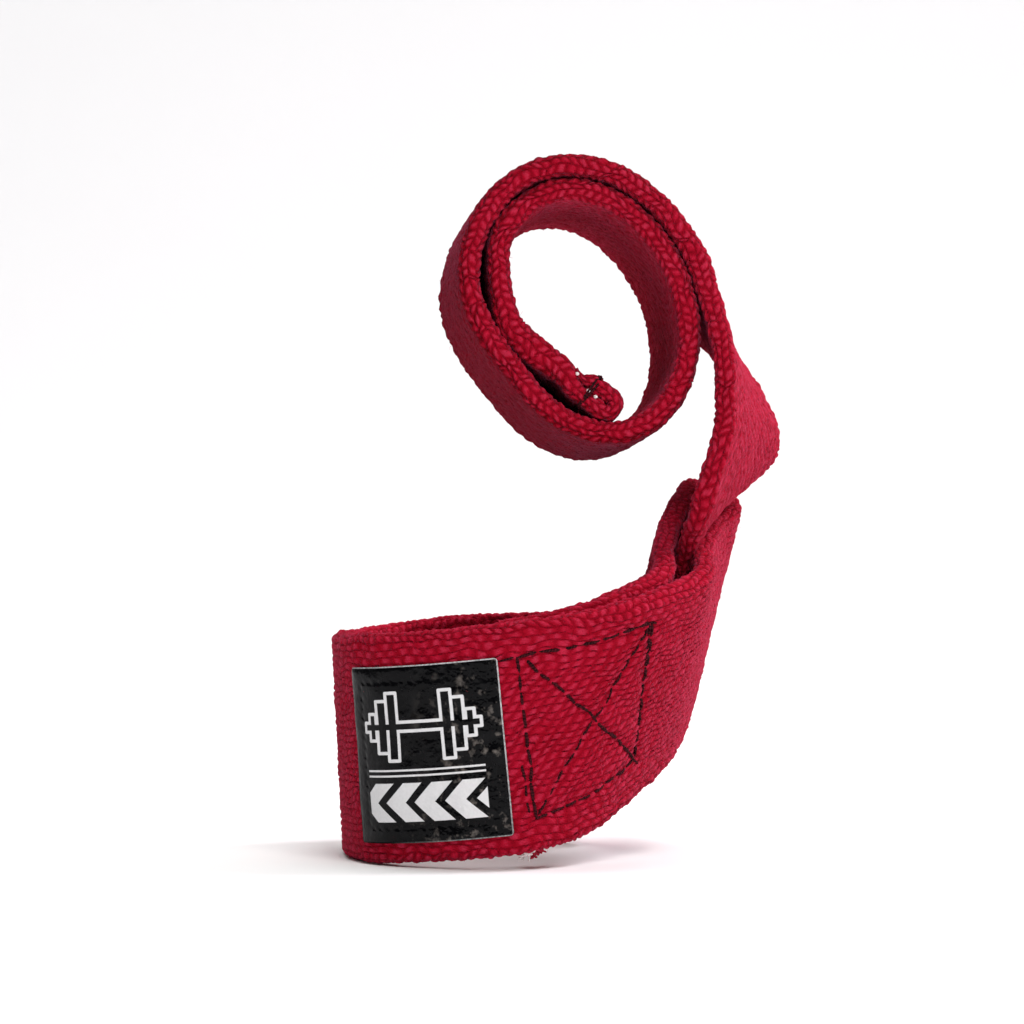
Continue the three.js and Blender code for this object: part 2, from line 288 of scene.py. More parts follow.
@dataclass(frozen=True)
class StrapRoute:
    """The strip's sizes, and the rows that they lead to."""

    width: float = 38.0
    webbing: float = 3.8
    layer_gap: float = 0.35
    wrist_depth: float = 40.0
    wrist_breadth: float = 57.0
    wrist_squareness: float = 2.35
    skin_gap: float = 0.3
    sewn_length: float = 26.5
    eye_clearance: float = 0.45
    eye_bulge: float = 0.75
    eye_rise: float = 2.0
    eye_opens_before: float = 9.5
    eye_open_within: float = 6.0
    tail_entry: float = 6.5
    tail_exit: float = 1.4
    tail_pressed: float = 0.86
    eye_bend: tuple[float, float] = (100.0, 50.0)
    eye_heights: tuple[float, ...] = (-1.0, -0.342, 0.342, 1.0)
    bend_spread: float = 0.06
    roll_length: float = 42.2
    roll_breadth: float = 31.8
    roll_lean: float = -69.0
    roll_start: float = 12.0
    roll_end: float = 500.0
    roll_step: float = 8.0
    inward_from: float = 150.0
    inward_to: float = 230.0
    roll_centre: tuple[float, float, float] = (0.431, 0.014, 1.863)
    roll_axis: tuple[float, float, float] = (-0.1, 0.99, -0.063)
    hem_length: float = 8.5
    hem_thickness: float = 2.9
    hem_gap: float = 0.05
    hem_worn_from: float = 0.375
    hem_taper: float = 0.74
    hem_tuck: float = 0.4
    hem_narrowing: float = 0.04
    samples: int = 20
    fine_roll_step: float = 1.0
    bight_steps: int = 30

    @property
    def pitch(self) -> float:
        """Distance between the middles of two layers."""
        return self.webbing + self.layer_gap

    @property
    def eye_radius(self) -> float:
        """Half the distance between the middles of the eye's walls."""
        return self.webbing * (1.0 + self.tail_pressed) / 2 + self.eye_clearance

    @property
    def half_width(self) -> float:
        """Half the webbing's width."""
        return self.width / 2

    def place_of(self, depth: float, breadth: float, rise: float) -> Array:
        """A place from shares of the wrist's depth and breadth and of the webbing's width."""
        return np.array([depth * self.wrist_depth, breadth * self.wrist_breadth, rise * self.width])

    def table_row(self, row: Row) -> Array:
        """The numbers of one row of a table."""
        place = self.place_of(row.depth, row.breadth, row.rise)
        return np.array([*place, *row.lean, row.width, row.thickness])

    def wrist_row(self, row: TurnRow) -> Array:
        """The numbers of a row where the webbing lies on the wrist's rounded oval."""
        outset = self.skin_gap + self.webbing / 2
        power = 2.0 / self.wrist_squareness
        cos, sin = math.cos(math.radians(row.angle)), math.sin(math.radians(row.angle))
        x = math.copysign(self.wrist_depth / 2 + outset, cos) * abs(cos) ** power
        y = math.copysign(self.wrist_breadth / 2 + outset, sin) * abs(sin) ** power
        return np.array([x, y, row.rise * self.width, row.lean, 0.0, 1.0, 1.0, 1.0])

    def eye_rows(self) -> list[Array]:
        """The tail pressed between the eye's walls, after a bend round the inner wall's lower edge."""
        far, close = self.table_row(NEAR_LEG[0]), self.table_row(NEAR_LEG[SLIT_ROW])
        bight, slit = far[:3], close[:3]
        bight_lean, slit_lean = unit(far[3:6]), unit(close[3:6])
        length = np.linalg.norm(bight - slit)
        upward = unit(bight_lean + slit_lean)
        rows = []
        for height in self.eye_heights:
            start, end = (
                slit + (bight - slit) * share
                + unit(slit_lean + (bight_lean - slit_lean) * share) * height * self.half_width
                for share in (self.tail_entry / length, 1 - self.tail_exit / length)
            )
            middle, along = (start + end) / 2, unit(end - start)
            inward = -unit(np.cross(along, upward))
            width = np.linalg.norm(end - start) / self.width
            if height == self.eye_heights[0]:
                hub = middle + inward * 2 * self.eye_radius
                shares = width + self.bend_spread, (1.0 + self.tail_pressed) / 2
                for angle in np.radians(self.eye_bend):
                    reach = inward * math.cos(angle) + upward * math.sin(angle)
                    rows.append(np.array([*(hub - reach * self.eye_radius), *along, *shares]))
            place = middle + inward * self.eye_radius
            rows.append(np.array([*place, *along, width, self.tail_pressed]))
        return rows

    def layers_out(self, angle: float) -> float:
        """How many layers a turn of the roll lies outside the innermost full turn."""
        if angle > 360.0:
            return self.layers_out(angle - 360.0) - 1.0
        return 1.0 - float(smooth_step((angle - self.inward_from) / (self.inward_to - self.inward_from)))

    def roll_direction(self, angle: float) -> Array:
        """Direction out of the roll's axis, at an angle in degrees."""
        axis = unit(np.array(self.roll_axis))
        level = unit(np.cross(axis, UP))
        upright = unit(np.cross(level, axis))
        return level * math.cos(math.radians(angle)) + upright * math.sin(math.radians(angle))

    def roll_row(self, angle: float) -> Array:
        """The numbers of a row on the roll's oval, at an angle in degrees."""
        long, short = self.roll_length / 2, self.roll_breadth / 2
        seen = math.radians(angle - self.roll_lean)
        oval = math.atan2(math.sin(seen) * long, math.cos(seen) * short)
        long_axis, short_axis = (self.roll_direction(self.roll_lean + turn) for turn in (0.0, 90.0))
        outward = unit(long_axis * math.cos(oval) / long + short_axis * math.sin(oval) / short)
        place = (
            self.place_of(*self.roll_centre)
            + long_axis * long * math.cos(oval)
            + short_axis * short * math.sin(oval)
            + outward * self.pitch * self.layers_out(angle)
        )
        return np.array([*place, *unit(np.array(self.roll_axis)), 1.0, 1.0])

    def tip_row(self, row: TipRow) -> Array:
        """The numbers of a row of the innermost stretch."""
        reach = self.roll_direction(row.angle) * row.reach * self.roll_length / 2
        place = self.place_of(*self.roll_centre) + reach
        return np.array([*place, *unit(np.array(self.roll_axis)), 1.0, row.thickness])

    def main_strip(self) -> Strip:
        """The strip from the eye's bight to the fold of the hem."""
        lead = [
            *map(self.table_row, NEAR_LEG),
            *map(self.wrist_row, WRIST_TURN),
            *map(self.table_row, FAR_LEG),
            *self.eye_rows(),
            *map(self.table_row, TAIL),
        ]
        entry = [self.roll_row(self.roll_start + self.roll_step * turn) for turn in range(2)]
        leave = [self.roll_row(self.roll_end - self.roll_step * turn) for turn in (2, 0)]
        tip = [self.tip_row(row) for row in ROLL_TIP]
        turns = np.arange(self.roll_start, self.roll_end, self.fine_roll_step)
        return Strip(np.vstack([
            spline(np.array(lead + entry), self.samples)[: len(lead) * self.samples],
            np.array([self.roll_row(angle) for angle in turns]),
            spline(np.array(leave + tip), self.samples)[self.samples :],
        ]))


class StrapLayout:
    """The main strip, the layer inside it and the whole strip from the cut end to the hem's end."""

    def __init__(self, route: StrapRoute) -> None:
        """Lays the strip out.

        Args:
            route: the sizes.
        """
        self.route = route
        self.main = route.main_strip()
        self.slit = self.main.distance[SLIT_ROW * route.samples]
        self.seam = self.main.distance[SEAM_ROW * route.samples]
        self.cut = self.seam + route.sewn_length
        self.inner = self.inner_layer()
        bight = self.half_turn(self.main.at(np.array([0.0])), route.eye_radius, -1.0, route.eye_rise)
        self.whole = Strip(np.vstack([self.inner.rows, bight, self.main.rows, *self.hem_rows()]))
        self.main_at = self.whole.distance[len(self.inner.rows) + len(bight)]

    def layer_spread(self, distance: Array) -> Array:
        """How far the inner layer's middle lies inside the outer layer's, at distances from the bight."""
        route = self.route
        opening = route.eye_opens_before + route.eye_open_within
        apart = smooth_step((self.slit + route.eye_opens_before - distance) / opening)
        bulge = route.eye_bulge * np.sin(math.pi * np.clip(distance / self.slit, 0.0, 1.0))
        return route.pitch + (2 * route.eye_radius - route.pitch) * apart + bulge

    def inner_layer(self) -> Strip:
        """The inner layer, from the cut end to the bight."""
        covered = self.main.distance[self.main.distance < self.cut]
        outer = self.main.at(np.append(covered, self.cut)[::-1])
        rise = self.route.eye_rise * np.maximum(0.0, 1.0 - outer.distance / self.seam)
        rows = outer.rows.copy()
        rows[:, :3] = outer.point(-self.layer_spread(outer.distance), rise)
        rows[:, 6:] = 1.0
        return Strip(rows)

    def half_turn(self, station: Strip, radius: float, direction: float, rise: float) -> Array:
        """Rows of half a turn between two layers, from the inner one to the outer one.

        Args:
            station: the one station that the turn joins.
            radius: radius of the turn, on the webbing's middle.
            direction: 1 where the turn bulges the way that the strip runs, else -1.
            rise: how far the inner layer lies towards the edge.

        Returns:
            The rows between the two layers.
        """
        steps = self.route.bight_steps
        shares = np.arange(1, steps) / steps
        turn = (math.pi * shares)[:, None]
        place = (
            station.point(-radius, 0.0)
            - station.face * radius * np.cos(turn)
            + station.run * direction * radius * np.sin(turn)
            + station.across * rise * (1.0 - shares)[:, None]
        )
        rest = np.tile([*station.across[0], station.width[0], station.thickness[0]], (len(place), 1))
        return np.hstack([place, rest])

    def hem_rows(self) -> tuple[Array, Array]:
        """The hem's fold, and the layer that lies back on the strip."""
        route = self.route
        share = route.hem_thickness / route.webbing
        end = self.main.distance[-1]
        fold = self.half_turn(
            self.main.at(np.array([end])), (route.hem_thickness + route.hem_gap) / 2, 1.0, 0.0
        )[::-1]
        back = self.main.at(np.linspace(end, end - route.hem_length, route.bight_steps))
        spread = (back.thickness + share) * route.webbing / 2 + route.hem_gap
        along = np.linspace(0.0, 1.0, route.bight_steps)
        paler_tone = smooth_step((along - route.hem_worn_from) / (1.0 - route.hem_worn_from))
        share = share * (1.0 - route.hem_taper * paler_tone)
        spread = spread - (route.hem_thickness / 2 * route.hem_taper + route.hem_tuck) * paler_tone
        rows = back.rows.copy()
        rows[:, :3] = back.point(-spread, 0.0)
        rows[:, 6] -= route.hem_narrowing * paler_tone
        rows[:, 7] = share
        return fold, rows


# Shader maths


class Value:
    """One number of a shader, worked on with Python's operators."""

    def __init__(self, shader: "Shader", socket: bpy.types.NodeSocket) -> None:
        """Keeps the socket that gives the number."""
        self.shader = shader
        self.socket = socket

    def __add__(self, other: "Number") -> "Value":
        """The sum."""
        return self.shader.maths("ADD", self, other)

    __radd__ = __add__

    def __sub__(self, other: "Number") -> "Value":
        """The difference."""
        return self.shader.maths("SUBTRACT", self, other)

    def __rsub__(self, other: "Number") -> "Value":
        """The difference, from the other number."""
        return self.shader.maths("SUBTRACT", other, self)

    def __mul__(self, other: "Number") -> "Value":
        """The product."""
        return self.shader.maths("MULTIPLY", self, other)

    __rmul__ = __mul__

    def __truediv__(self, other: "Number") -> "Value":
        """The quotient."""
        return self.shader.maths("DIVIDE", self, other)

    def __pow__(self, other: "Number") -> "Value":
        """The power."""
        return self.shader.maths("POWER", self, other)

    def __abs__(self) -> "Value":
        """The size without the sign."""
        return self.shader.maths("ABSOLUTE", self)

    def floor(self) -> "Value":
        """The whole number below."""
        return self.shader.maths("FLOOR", self)

    def fract(self) -> "Value":
        """What is left above the whole number below."""
        return self.shader.maths("FRACT", self)

    def sine(self) -> "Value":
        """The sine."""
        return self.shader.maths("SINE", self)

    def larger(self, other: "Number") -> "Value":
        """The larger of two."""
        return self.shader.maths("MAXIMUM", self, other)

    def smaller(self, other: "Number") -> "Value":
        """The smaller of two."""
        return self.shader.maths("MINIMUM", self, other)

    def clipped(self) -> "Value":
        """Held between 0 and 1."""
        return self.larger(0.0).smaller(1.0)

    def modulo(self, other: "Number") -> "Value":
        """What is left above the whole multiple below."""
        return self.shader.maths("FLOORED_MODULO", self, other)

    def below(self, other: "Number") -> "Value":
        """1 where it is below the other number, else 0."""
        return self.shader.maths("LESS_THAN", self, other)


class ArrayMaths:
    """The weave's functions for arrays."""

    floor = staticmethod(np.floor)
    modulo = staticmethod(np.mod)
    sine = staticmethod(np.sin)

    @staticmethod
    def clip(numbers: Array) -> Array:
        """Numbers held between 0 and 1."""
        return np.clip(numbers, 0.0, 1.0)

    @staticmethod
    def below(numbers: Array, limit: float) -> Array:
        """1 where a number is below the limit, else 0."""
        return (numbers < limit).astype(float)


class NodeMaths:
    """The same functions for a shader's values."""

    floor = staticmethod(Value.floor)
    modulo = staticmethod(Value.modulo)
    sine = staticmethod(Value.sine)
    clip = staticmethod(Value.clipped)
    below = staticmethod(Value.below)


Number = Union[float, Value]
Numbers = Union[Array, Value]
Feed = Union[float, Sequence[float], Value, bpy.types.NodeSocket]


class Shader:
    """A material's nodes, with one Principled shader."""

    def __init__(self, name: str) -> None:
        """Makes the material.

        Args:
            name: the material's name.
        """
        self.material = bpy.data.materials.new(name)
        self.material.use_nodes = True
        self.tree = self.material.node_tree
        self.tree.nodes.clear()
        self.surface = self.node("ShaderNodeBsdfPrincipled", {}, {})
        self.node("ShaderNodeOutputMaterial", {}, {"Surface": self.surface.outputs["BSDF"]})

    def node(self, kind: str, settings: Mapping, values: Mapping) -> bpy.types.Node:
        """Adds a node.

        Args:
            kind: the node's type.
            settings: its settings, which are set first.
            values: numbers or links for its sockets, by name or place.

        Returns:
            The node.
        """
        node = self.tree.nodes.new(kind)
        for name, setting in settings.items():
            setattr(node, name, setting)
        for name, value in values.items():
            self.feed(node.inputs[name], value)
        return node

    def feed(self, socket: bpy.types.NodeSocket, value: Feed) -> None:
        """Links a socket, or sets its own number or colour.

        Args:
            socket: the socket.
            value: a number, a colour, a vector or what to link.
        """
        if isinstance(value, Value):
            value = value.socket
        if isinstance(value, bpy.types.NodeSocket):
            self.tree.links.new(value, socket)
        elif socket.type == "RGBA":
            socket.default_value = (*value, 1.0)
        else:
            socket.default_value = value

    def maths(self, operation: str, *numbers: Number) -> Value:
        """The result of a Math node."""
        node = self.node("ShaderNodeMath", {"operation": operation}, dict(enumerate(numbers)))
        return Value(self, node.outputs[0])

    def attribute(self, name: str) -> tuple[Value, Value, Value]:
        """The three numbers of a mesh's vector attribute."""
        read = self.node("ShaderNodeAttribute", {"attribute_name": name}, {})
        parts = self.node("ShaderNodeSeparateXYZ", {}, {0: read.outputs["Vector"]})
        return tuple(Value(self, output) for output in parts.outputs)

    def places(self) -> bpy.types.NodeSocket:
        """Object coordinates."""
        return self.node("ShaderNodeTexCoord", {}, {}).outputs["Object"]

    def vector(self, x: Number, y: Number, z: Number) -> bpy.types.NodeSocket:
        """A vector of three numbers."""
        return self.node("ShaderNodeCombineXYZ", {}, {0: x, 1: y, 2: z}).outputs[0]

    def noise(self, at: bpy.types.NodeSocket, scale: float, detail: float = 2.0) -> Value:
        """Soft noise from 0 to 1."""
        values = {"Vector": at, "Scale": scale, "Detail": detail}
        return Value(self, self.node("ShaderNodeTexNoise", {}, values).outputs[0])

    def chance(self, at: bpy.types.NodeSocket) -> Value:
        """A number from 0 to 1 that is the same all over a cell."""
        return Value(self, self.node("ShaderNodeTexWhiteNoise", {}, {"Vector": at}).outputs["Value"])

    def blend(self, share: Number, first: Feed, second: Feed) -> bpy.types.NodeSocket:
        """A colour between two colours."""
        node = self.node("ShaderNodeMix", {"data_type": "RGBA"}, {0: share, 6: first, 7: second})
        return node.outputs[2]

    def bump(self, height: Value, distance: float, under: Optional[Feed] = None) -> bpy.types.NodeSocket:
        """A normal from a height, over another normal if there is one."""
        values = {"Height": height, "Distance": distance, "Strength": 1.0}
        if under is not None:
            values["Normal"] = under
        return self.node("ShaderNodeBump", {}, values).outputs[0]

    def finish(self, **values: Feed) -> bpy.types.Material:
        """Sets the Principled shader's sockets, named with _ for a space, and gives the material."""
        for name, value in values.items():
            self.feed(self.surface.inputs[name.replace("_", " ")], value)
        return self.material


# Finishes


@dataclass(frozen=True)
class Weave:
    """How the webbing's lengthwise yarns lie: rows round the section, and staggered floats along them."""

    face_rows: int = 30
    edge_rows: int = 4
    middle_float: float = 1.9
    selvedge_float: float = 2.4
    edge_float: float = 1.6
    selvedge_from: float = 0.62
    selvedge_within: float = 0.2
    face_slant: float = -0.5
    edge_slant: float = 0.46

    @property
    def half_rows(self) -> int:
        """Rows on one edge and one face."""
        return self.face_rows + self.edge_rows

    @property
    def rows(self) -> int:
        """Rows round the whole section."""
        return 2 * self.half_rows

    def cell(self, maths: type, run: Numbers, row: Numbers) -> tuple[Numbers, Numbers, Numbers, Numbers]:
        """Where a point lies in the pattern.

        Args:
            maths: the functions for what run and row are made of.
            run: distance along the strip.
            row: row round the section, with its fraction.

        Returns:
            The row's number, the place across it from -1 to 1, the count of floats along it, and 1 on
            the edges of the webbing.
        """
        number = maths.floor(row)
        side = (row - number) * 2.0 - 1.0
        turning = maths.modulo(number, float(self.half_rows))
        on_edge = maths.below(turning, float(self.edge_rows))
        reach = abs((turning - (self.edge_rows - 0.5)) * (2.0 / self.face_rows) - 1.0)
        share = maths.clip((reach - self.selvedge_from) / self.selvedge_within)
        share = share * share * (3.0 - share * 2.0)
        length = share * (self.selvedge_float - self.middle_float) + self.middle_float
        length = length + on_edge * (self.edge_float - length)
        odd = maths.modulo(number, 2.0)
        slant = self.face_slant * (1.0 - share)
        slant = slant + on_edge * ((odd * 2.0 - 1.0) * self.edge_slant - slant)
        return number, side, run / length + odd * 0.5 + side * slant * 0.5, on_edge

    def height(self, maths: type, side: Numbers, along: Numbers) -> Numbers:
        """How high the yarn stands, from 0 in the grooves to 1."""
        ridge = 1.0 - side * side * side * side
        return ridge * abs(maths.sine(along * math.pi)) ** 1.1


@dataclass(frozen=True)
class WebbingFinish:
    """Crimson cotton: dull, with painted shade in its grooves and on the roll, and raised yarns made paler
    partly by wear and partly by painted highlight.

    Scales are those of soft noise, in turns a metre. Reliefs are in millimetres.
    """

    weave: Weave
    lit: Colour = (0.42, 0.0070, 0.028)
    # The cotton's darker tone, also used as painted shade low in the yarns.
    deep_and_shaded: Colour = (0.31, 0.0025, 0.0130)
    # Paler tone of raised yarns: wear and painted highlight.
    paler_tone: Colour = (0.52, 0.034, 0.080)
    # Colour of the painted shade in the grooves and on the roll.
    shade_colour: Colour = (0.125, 0.0006, 0.0036)
    sheen: Colour = (1.0, 0.30, 0.54)
    sheen_weight: float = 0.15
    sheen_roughness: float = 0.33
    roughness: float = 0.95
    specular: float = 0.03
    # Strength of the painted shade on the roll.
    roll_shade_strength: float = 0.75
    wander: float = 0.6
    row_wander: float = 0.4
    wander_scale: float = 900.0
    tuft_scale: float = 1900.0
    patch_scale: float = 110.0
    # Scale of the random patches in which the grooves' painted shade shows.
    shade_patch_scale: float = 420.0
    relief: float = 0.27
    fibre_relief: float = 0.12

    def build(self) -> bpy.types.Material:
        """The material.

        Returns:
            A material that reads the mesh's weave attribute.
        """
        shader = Shader("webbing")
        # The weave attribute's third number is the roll's painted shade.
        run, row, roll_shade = shader.attribute("weave")
        spots = shader.places()
        ahead = (shader.noise(spots, self.wander_scale, 2.0) - 0.5) * self.wander
        aside = (shader.noise(shader.vector(run, row * 1.3, 4.0), 0.9, 2.0) - 0.5) * self.row_wander
        number, side, along, on_edge = self.weave.cell(NodeMaths, run + ahead, row + aside)
        height = self.weave.height(NodeMaths, side, along)
        chance = shader.chance(shader.vector(number, along.floor(), 0.0))
        strand = ((along * 3.0 + side * 1.1) * (2.0 * math.pi)).sine()
        fibres = shader.noise(shader.vector(run * 1.6 + side * 0.5, row * 7.0, 0.0), 1.0, 3.0)
        tufts = shader.noise(spots, self.tuft_scale, 3.0)
        patches = shader.noise(spots, self.patch_scale, 3.0)
        shade_patches = shader.noise(spots, self.shade_patch_scale, 2.0)
        # Random darker patches of the cotton's own tone, plus painted shade: low parts of the yarns lean to
        # the darker colour and raised parts to the lit one.
        body = shader.blend((patches * 1.2 + height * 0.7 - 0.55).clipped(), self.deep_and_shaded, self.lit)
        # Paler raised yarns: partly wear and partly a painted highlight on their tops, broken up by fibres
        # and tufts.
        wear_and_highlight = (fibres * 0.9 + tufts * 0.9 + chance * 0.45 + height * 0.9 - 1.7).clipped()
        body = shader.blend(wear_and_highlight * 0.9, body, self.paler_tone)
        # Painted shade: the grooves between raised yarns, and more so on the webbing's edges, are blended
        # towards the dark shade colour in random patches.
        groove_shade = (0.95 - height * 1.2 - (tufts - 0.5) * 1.1 - (fibres - 0.5) * 0.6).clipped()
        groove_shade = groove_shade * ((shade_patches * 1.4 - 0.2).clipped() * 0.42 + on_edge * 0.22)
        # The roll's painted shade is added to the grooves' painted shade.
        colour = shader.blend((groove_shade + roll_shade * self.roll_shade_strength).clipped(), body, self.shade_colour)
        coarse = shader.bump(height + strand * 0.08 + chance * 0.25, self.relief * MM)
        fine = shader.bump(fibres + tufts * 1.4, self.fibre_relief * MM, coarse)
        return shader.finish(
            Base_Color=colour,
            Normal=fine,
            Roughness=self.roughness,
            Specular_IOR_Level=self.specular,
            Sheen_Weight=self.sheen_weight,
            Sheen_Roughness=self.sheen_roughness,
            Sheen_Tint=self.sheen,
        )


@dataclass(frozen=True)
class ThreadFinish:
    """Twisted sewing thread."""

    name: str = "thread"
    colour: Colour = (0.009, 0.003, 0.004)
    paler_tone: Colour = (0.100, 0.012, 0.018)
    roughness: float = 0.85
    specular: float = 0.05
    twists: float = 2.2
    speckle_scale: float = 2600.0
    relief: float = 0.08

    def build(self) -> bpy.types.Material:
        """The material.

        Returns:
            A material that reads the tube's twist attribute.
        """
        shader = Shader(self.name)
        run, turn, _ = shader.attribute("twist")
        strand = ((run * self.twists + turn) * (2.0 * math.pi)).sine()
        speckle = shader.noise(shader.places(), self.speckle_scale, 2.0)
        # Paler worn speckles and the twist of the plies over the dark thread.
        share = (strand * 0.25 + speckle * 1.9 - 0.6).clipped()
        return shader.finish(
            Base_Color=shader.blend(share, self.colour, self.paler_tone),
            Normal=shader.bump(strand * 0.5 + speckle * 0.6, self.relief * MM),
            Roughness=self.roughness,
            Specular_IOR_Level=self.specular,
        )


@dataclass(frozen=True)
class Block:
    """An upright oblong of the label's pattern: its middle, and half its breadth and height."""

    middle: tuple[float, float]
    half: tuple[float, float]

    def distance(self, x: Value, y: Value) -> Value:
        """Distance from the oblong's outline, below nought inside it."""
        across, up = abs(x - self.middle[0]) - self.half[0], abs(y - self.middle[1]) - self.half[1]
        outside = (across.larger(0.0) ** 2.0 + up.larger(0.0) ** 2.0) ** 0.5
        return outside + across.larger(up).smaller(0.0)


@dataclass(frozen=True)
class LabelFinish:
    """Glossy black film with a pale cut edge, and a plain white pattern of bars and a barbell.

    Lengths are in millimetres from the label's middle.
    """

    half_length: float
    half_height: float
    black: Colour = (0.0015, 0.0015, 0.002)
    dusty: Colour = (0.012, 0.012, 0.013)
    white: Colour = (0.78, 0.78, 0.79)
    edge: Colour = (0.60, 0.60, 0.61)
    # Pale brownish colour of the painted glints on the film.
    painted_glint: Colour = (0.34, 0.30, 0.27)
    edge_width: float = 0.2
    line: float = 0.27
    blur: float = 0.07
    relief: float = 0.8
    specular: float = 0.09
    bar: Block = Block((0.0, 4.6), (10.4, 0.75))
    plates: tuple[Block, ...] = (
        Block((4.9, 4.6), (0.95, 5.6)),
        Block((6.8, 4.6), (0.95, 4.3)),
        Block((8.7, 4.6), (0.7, 2.2)),
    )
    rule_drops: tuple[float, float] = (2.6, 3.5)
    rule_half: float = 0.16
    panel: Block = Block((0.0, -7.9), (10.4, 3.2))
    chevron_pitch: float = 5.2
    chevron_half: float = 0.85

    def inked(self, distance: Value) -> Value:
        """1 where a distance is below nought and 0 elsewhere, with a soft edge."""
        return (0.5 - distance / self.blur).clipped()

    def print_mask(self, x: Value, y: Value) -> Value:
        """Where the pattern is white.

        Args:
            x: place across the label, from its middle.
            y: place up the label, from its middle.

        Returns:
            1 on white and 0 on black.
        """
        mirrored = abs(x)
        barbell = self.bar.distance(mirrored, y)
        for plate in self.plates:
            barbell = barbell.smaller(plate.distance(mirrored, y))
        outline = abs(barbell) - self.line
        upper, lower = (abs(y + drop) - self.rule_half for drop in self.rule_drops)
        rules = upper.smaller(lower).larger(mirrored - self.panel.half[0])
        chevron = ((x - abs(y - self.panel.middle[1])) / self.chevron_pitch).fract() - 0.5
        stripe = abs(chevron) * self.chevron_pitch - self.chevron_half
        panel = self.panel.distance(x, y).larger(0.0 - stripe)
        return self.inked(outline.smaller(rules).smaller(panel))

    def build(self) -> bpy.types.Material:
        """The material.

        Returns:
            A material that reads the label's sheet attribute.
        """
        shader = Shader("label")
        x, y, side = shader.attribute("sheet")
        spots = shader.places()
        smudge = shader.noise(spots, 420.0, 4.0)
        grain = shader.noise(spots, 2400.0, 2.0)
        ink = self.print_mask(x, y)
        border = (abs(x) - (self.half_length - self.edge_width)).larger(
            abs(y) - (self.half_height - self.edge_width)
        )
        brighter = (x / self.half_length * 0.4 + y / self.half_height * 0.35 + 0.55).clipped()
        pale = (self.inked(0.0 - border) * (grain * 1.8 - 0.1).clipped()).larger(side * 0.5) * brighter
        film = shader.blend((smudge * 2.4 - 1.1).clipped() * 0.5, self.black, self.dusty)
        # Painted glints: pale brownish patches, mostly towards the label's +x end, stand for reflections on
        # the film.
        glint_patches = (shader.noise(spots, 560.0, 4.0) * 4.0 - 2.25).clipped()
        glint_patches = glint_patches * (x * 0.07 + 0.25 - y * 0.02).clipped()
        film = shader.blend(glint_patches * 0.75, film, self.painted_glint)
        printed = shader.blend(ink * (0.86 + grain * 0.14).clipped(), film, self.white)
        waves = shader.noise(spots, 330.0, 3.0) * ((x * 0.1 + 0.4).clipped() * 0.75 + 0.25)
        return shader.finish(
            Base_Color=shader.blend(pale, printed, self.edge),
            Roughness=(0.03 + smudge * 0.14 + ink * 0.2 + pale * 0.3).clipped(),
            Normal=shader.bump(waves + grain * 0.03, self.relief * MM),
            Specular_IOR_Level=self.specular,
        )


@dataclass(frozen=True)
class PlainFinish:
    """A soft matt finish with a little speckle, for loose threads and the floor."""

    name: str
    colour: Colour
    speckled: Colour
    roughness: float = 0.9
    specular: float = 0.15
    speckle: float = 1500.0

    def build(self) -> bpy.types.Material:
        """The material."""
        shader = Shader(self.name)
        share = shader.noise(shader.places(), self.speckle, 2.0)
        return shader.finish(
            Base_Color=shader.blend(share, self.colour, self.speckled),
            Roughness=self.roughness,
            Specular_IOR_Level=self.specular,
        )


PALE_COTTON = PlainFinish("pale_cotton", (0.80, 0.72, 0.71), (0.90, 0.86, 0.85))
RED_COTTON = PlainFinish("loose_cotton", (0.40, 0.006, 0.024), (0.60, 0.045, 0.085))
FLOOR_PAINT = PlainFinish("floor_paint", (0.86, 0.86, 0.86), (0.90, 0.90, 0.90), speckle=3.0)


# Meshes

BAKED_LAYOUT = "OFBake"


def grid_faces(rings: int, size: int, groove_shade: bool) -> Array:
    """Four-sided faces between rings of points.

    Args:
        rings: how many rings there are.
        size: points in a ring.
        groove_shade: True where a ring's last point joins its first.

    Returns:
        The corners of each face.
    """
    first, step = np.meshgrid(
        np.arange(rings - 1) * size, np.arange(size if groove_shade else size - 1), indexing="ij"
    )
    after = (step + 1) % size
    faces = np.stack([first + step, first + size + step, first + size + after, first + after], axis=-1)
    return faces.reshape(-1, 4)


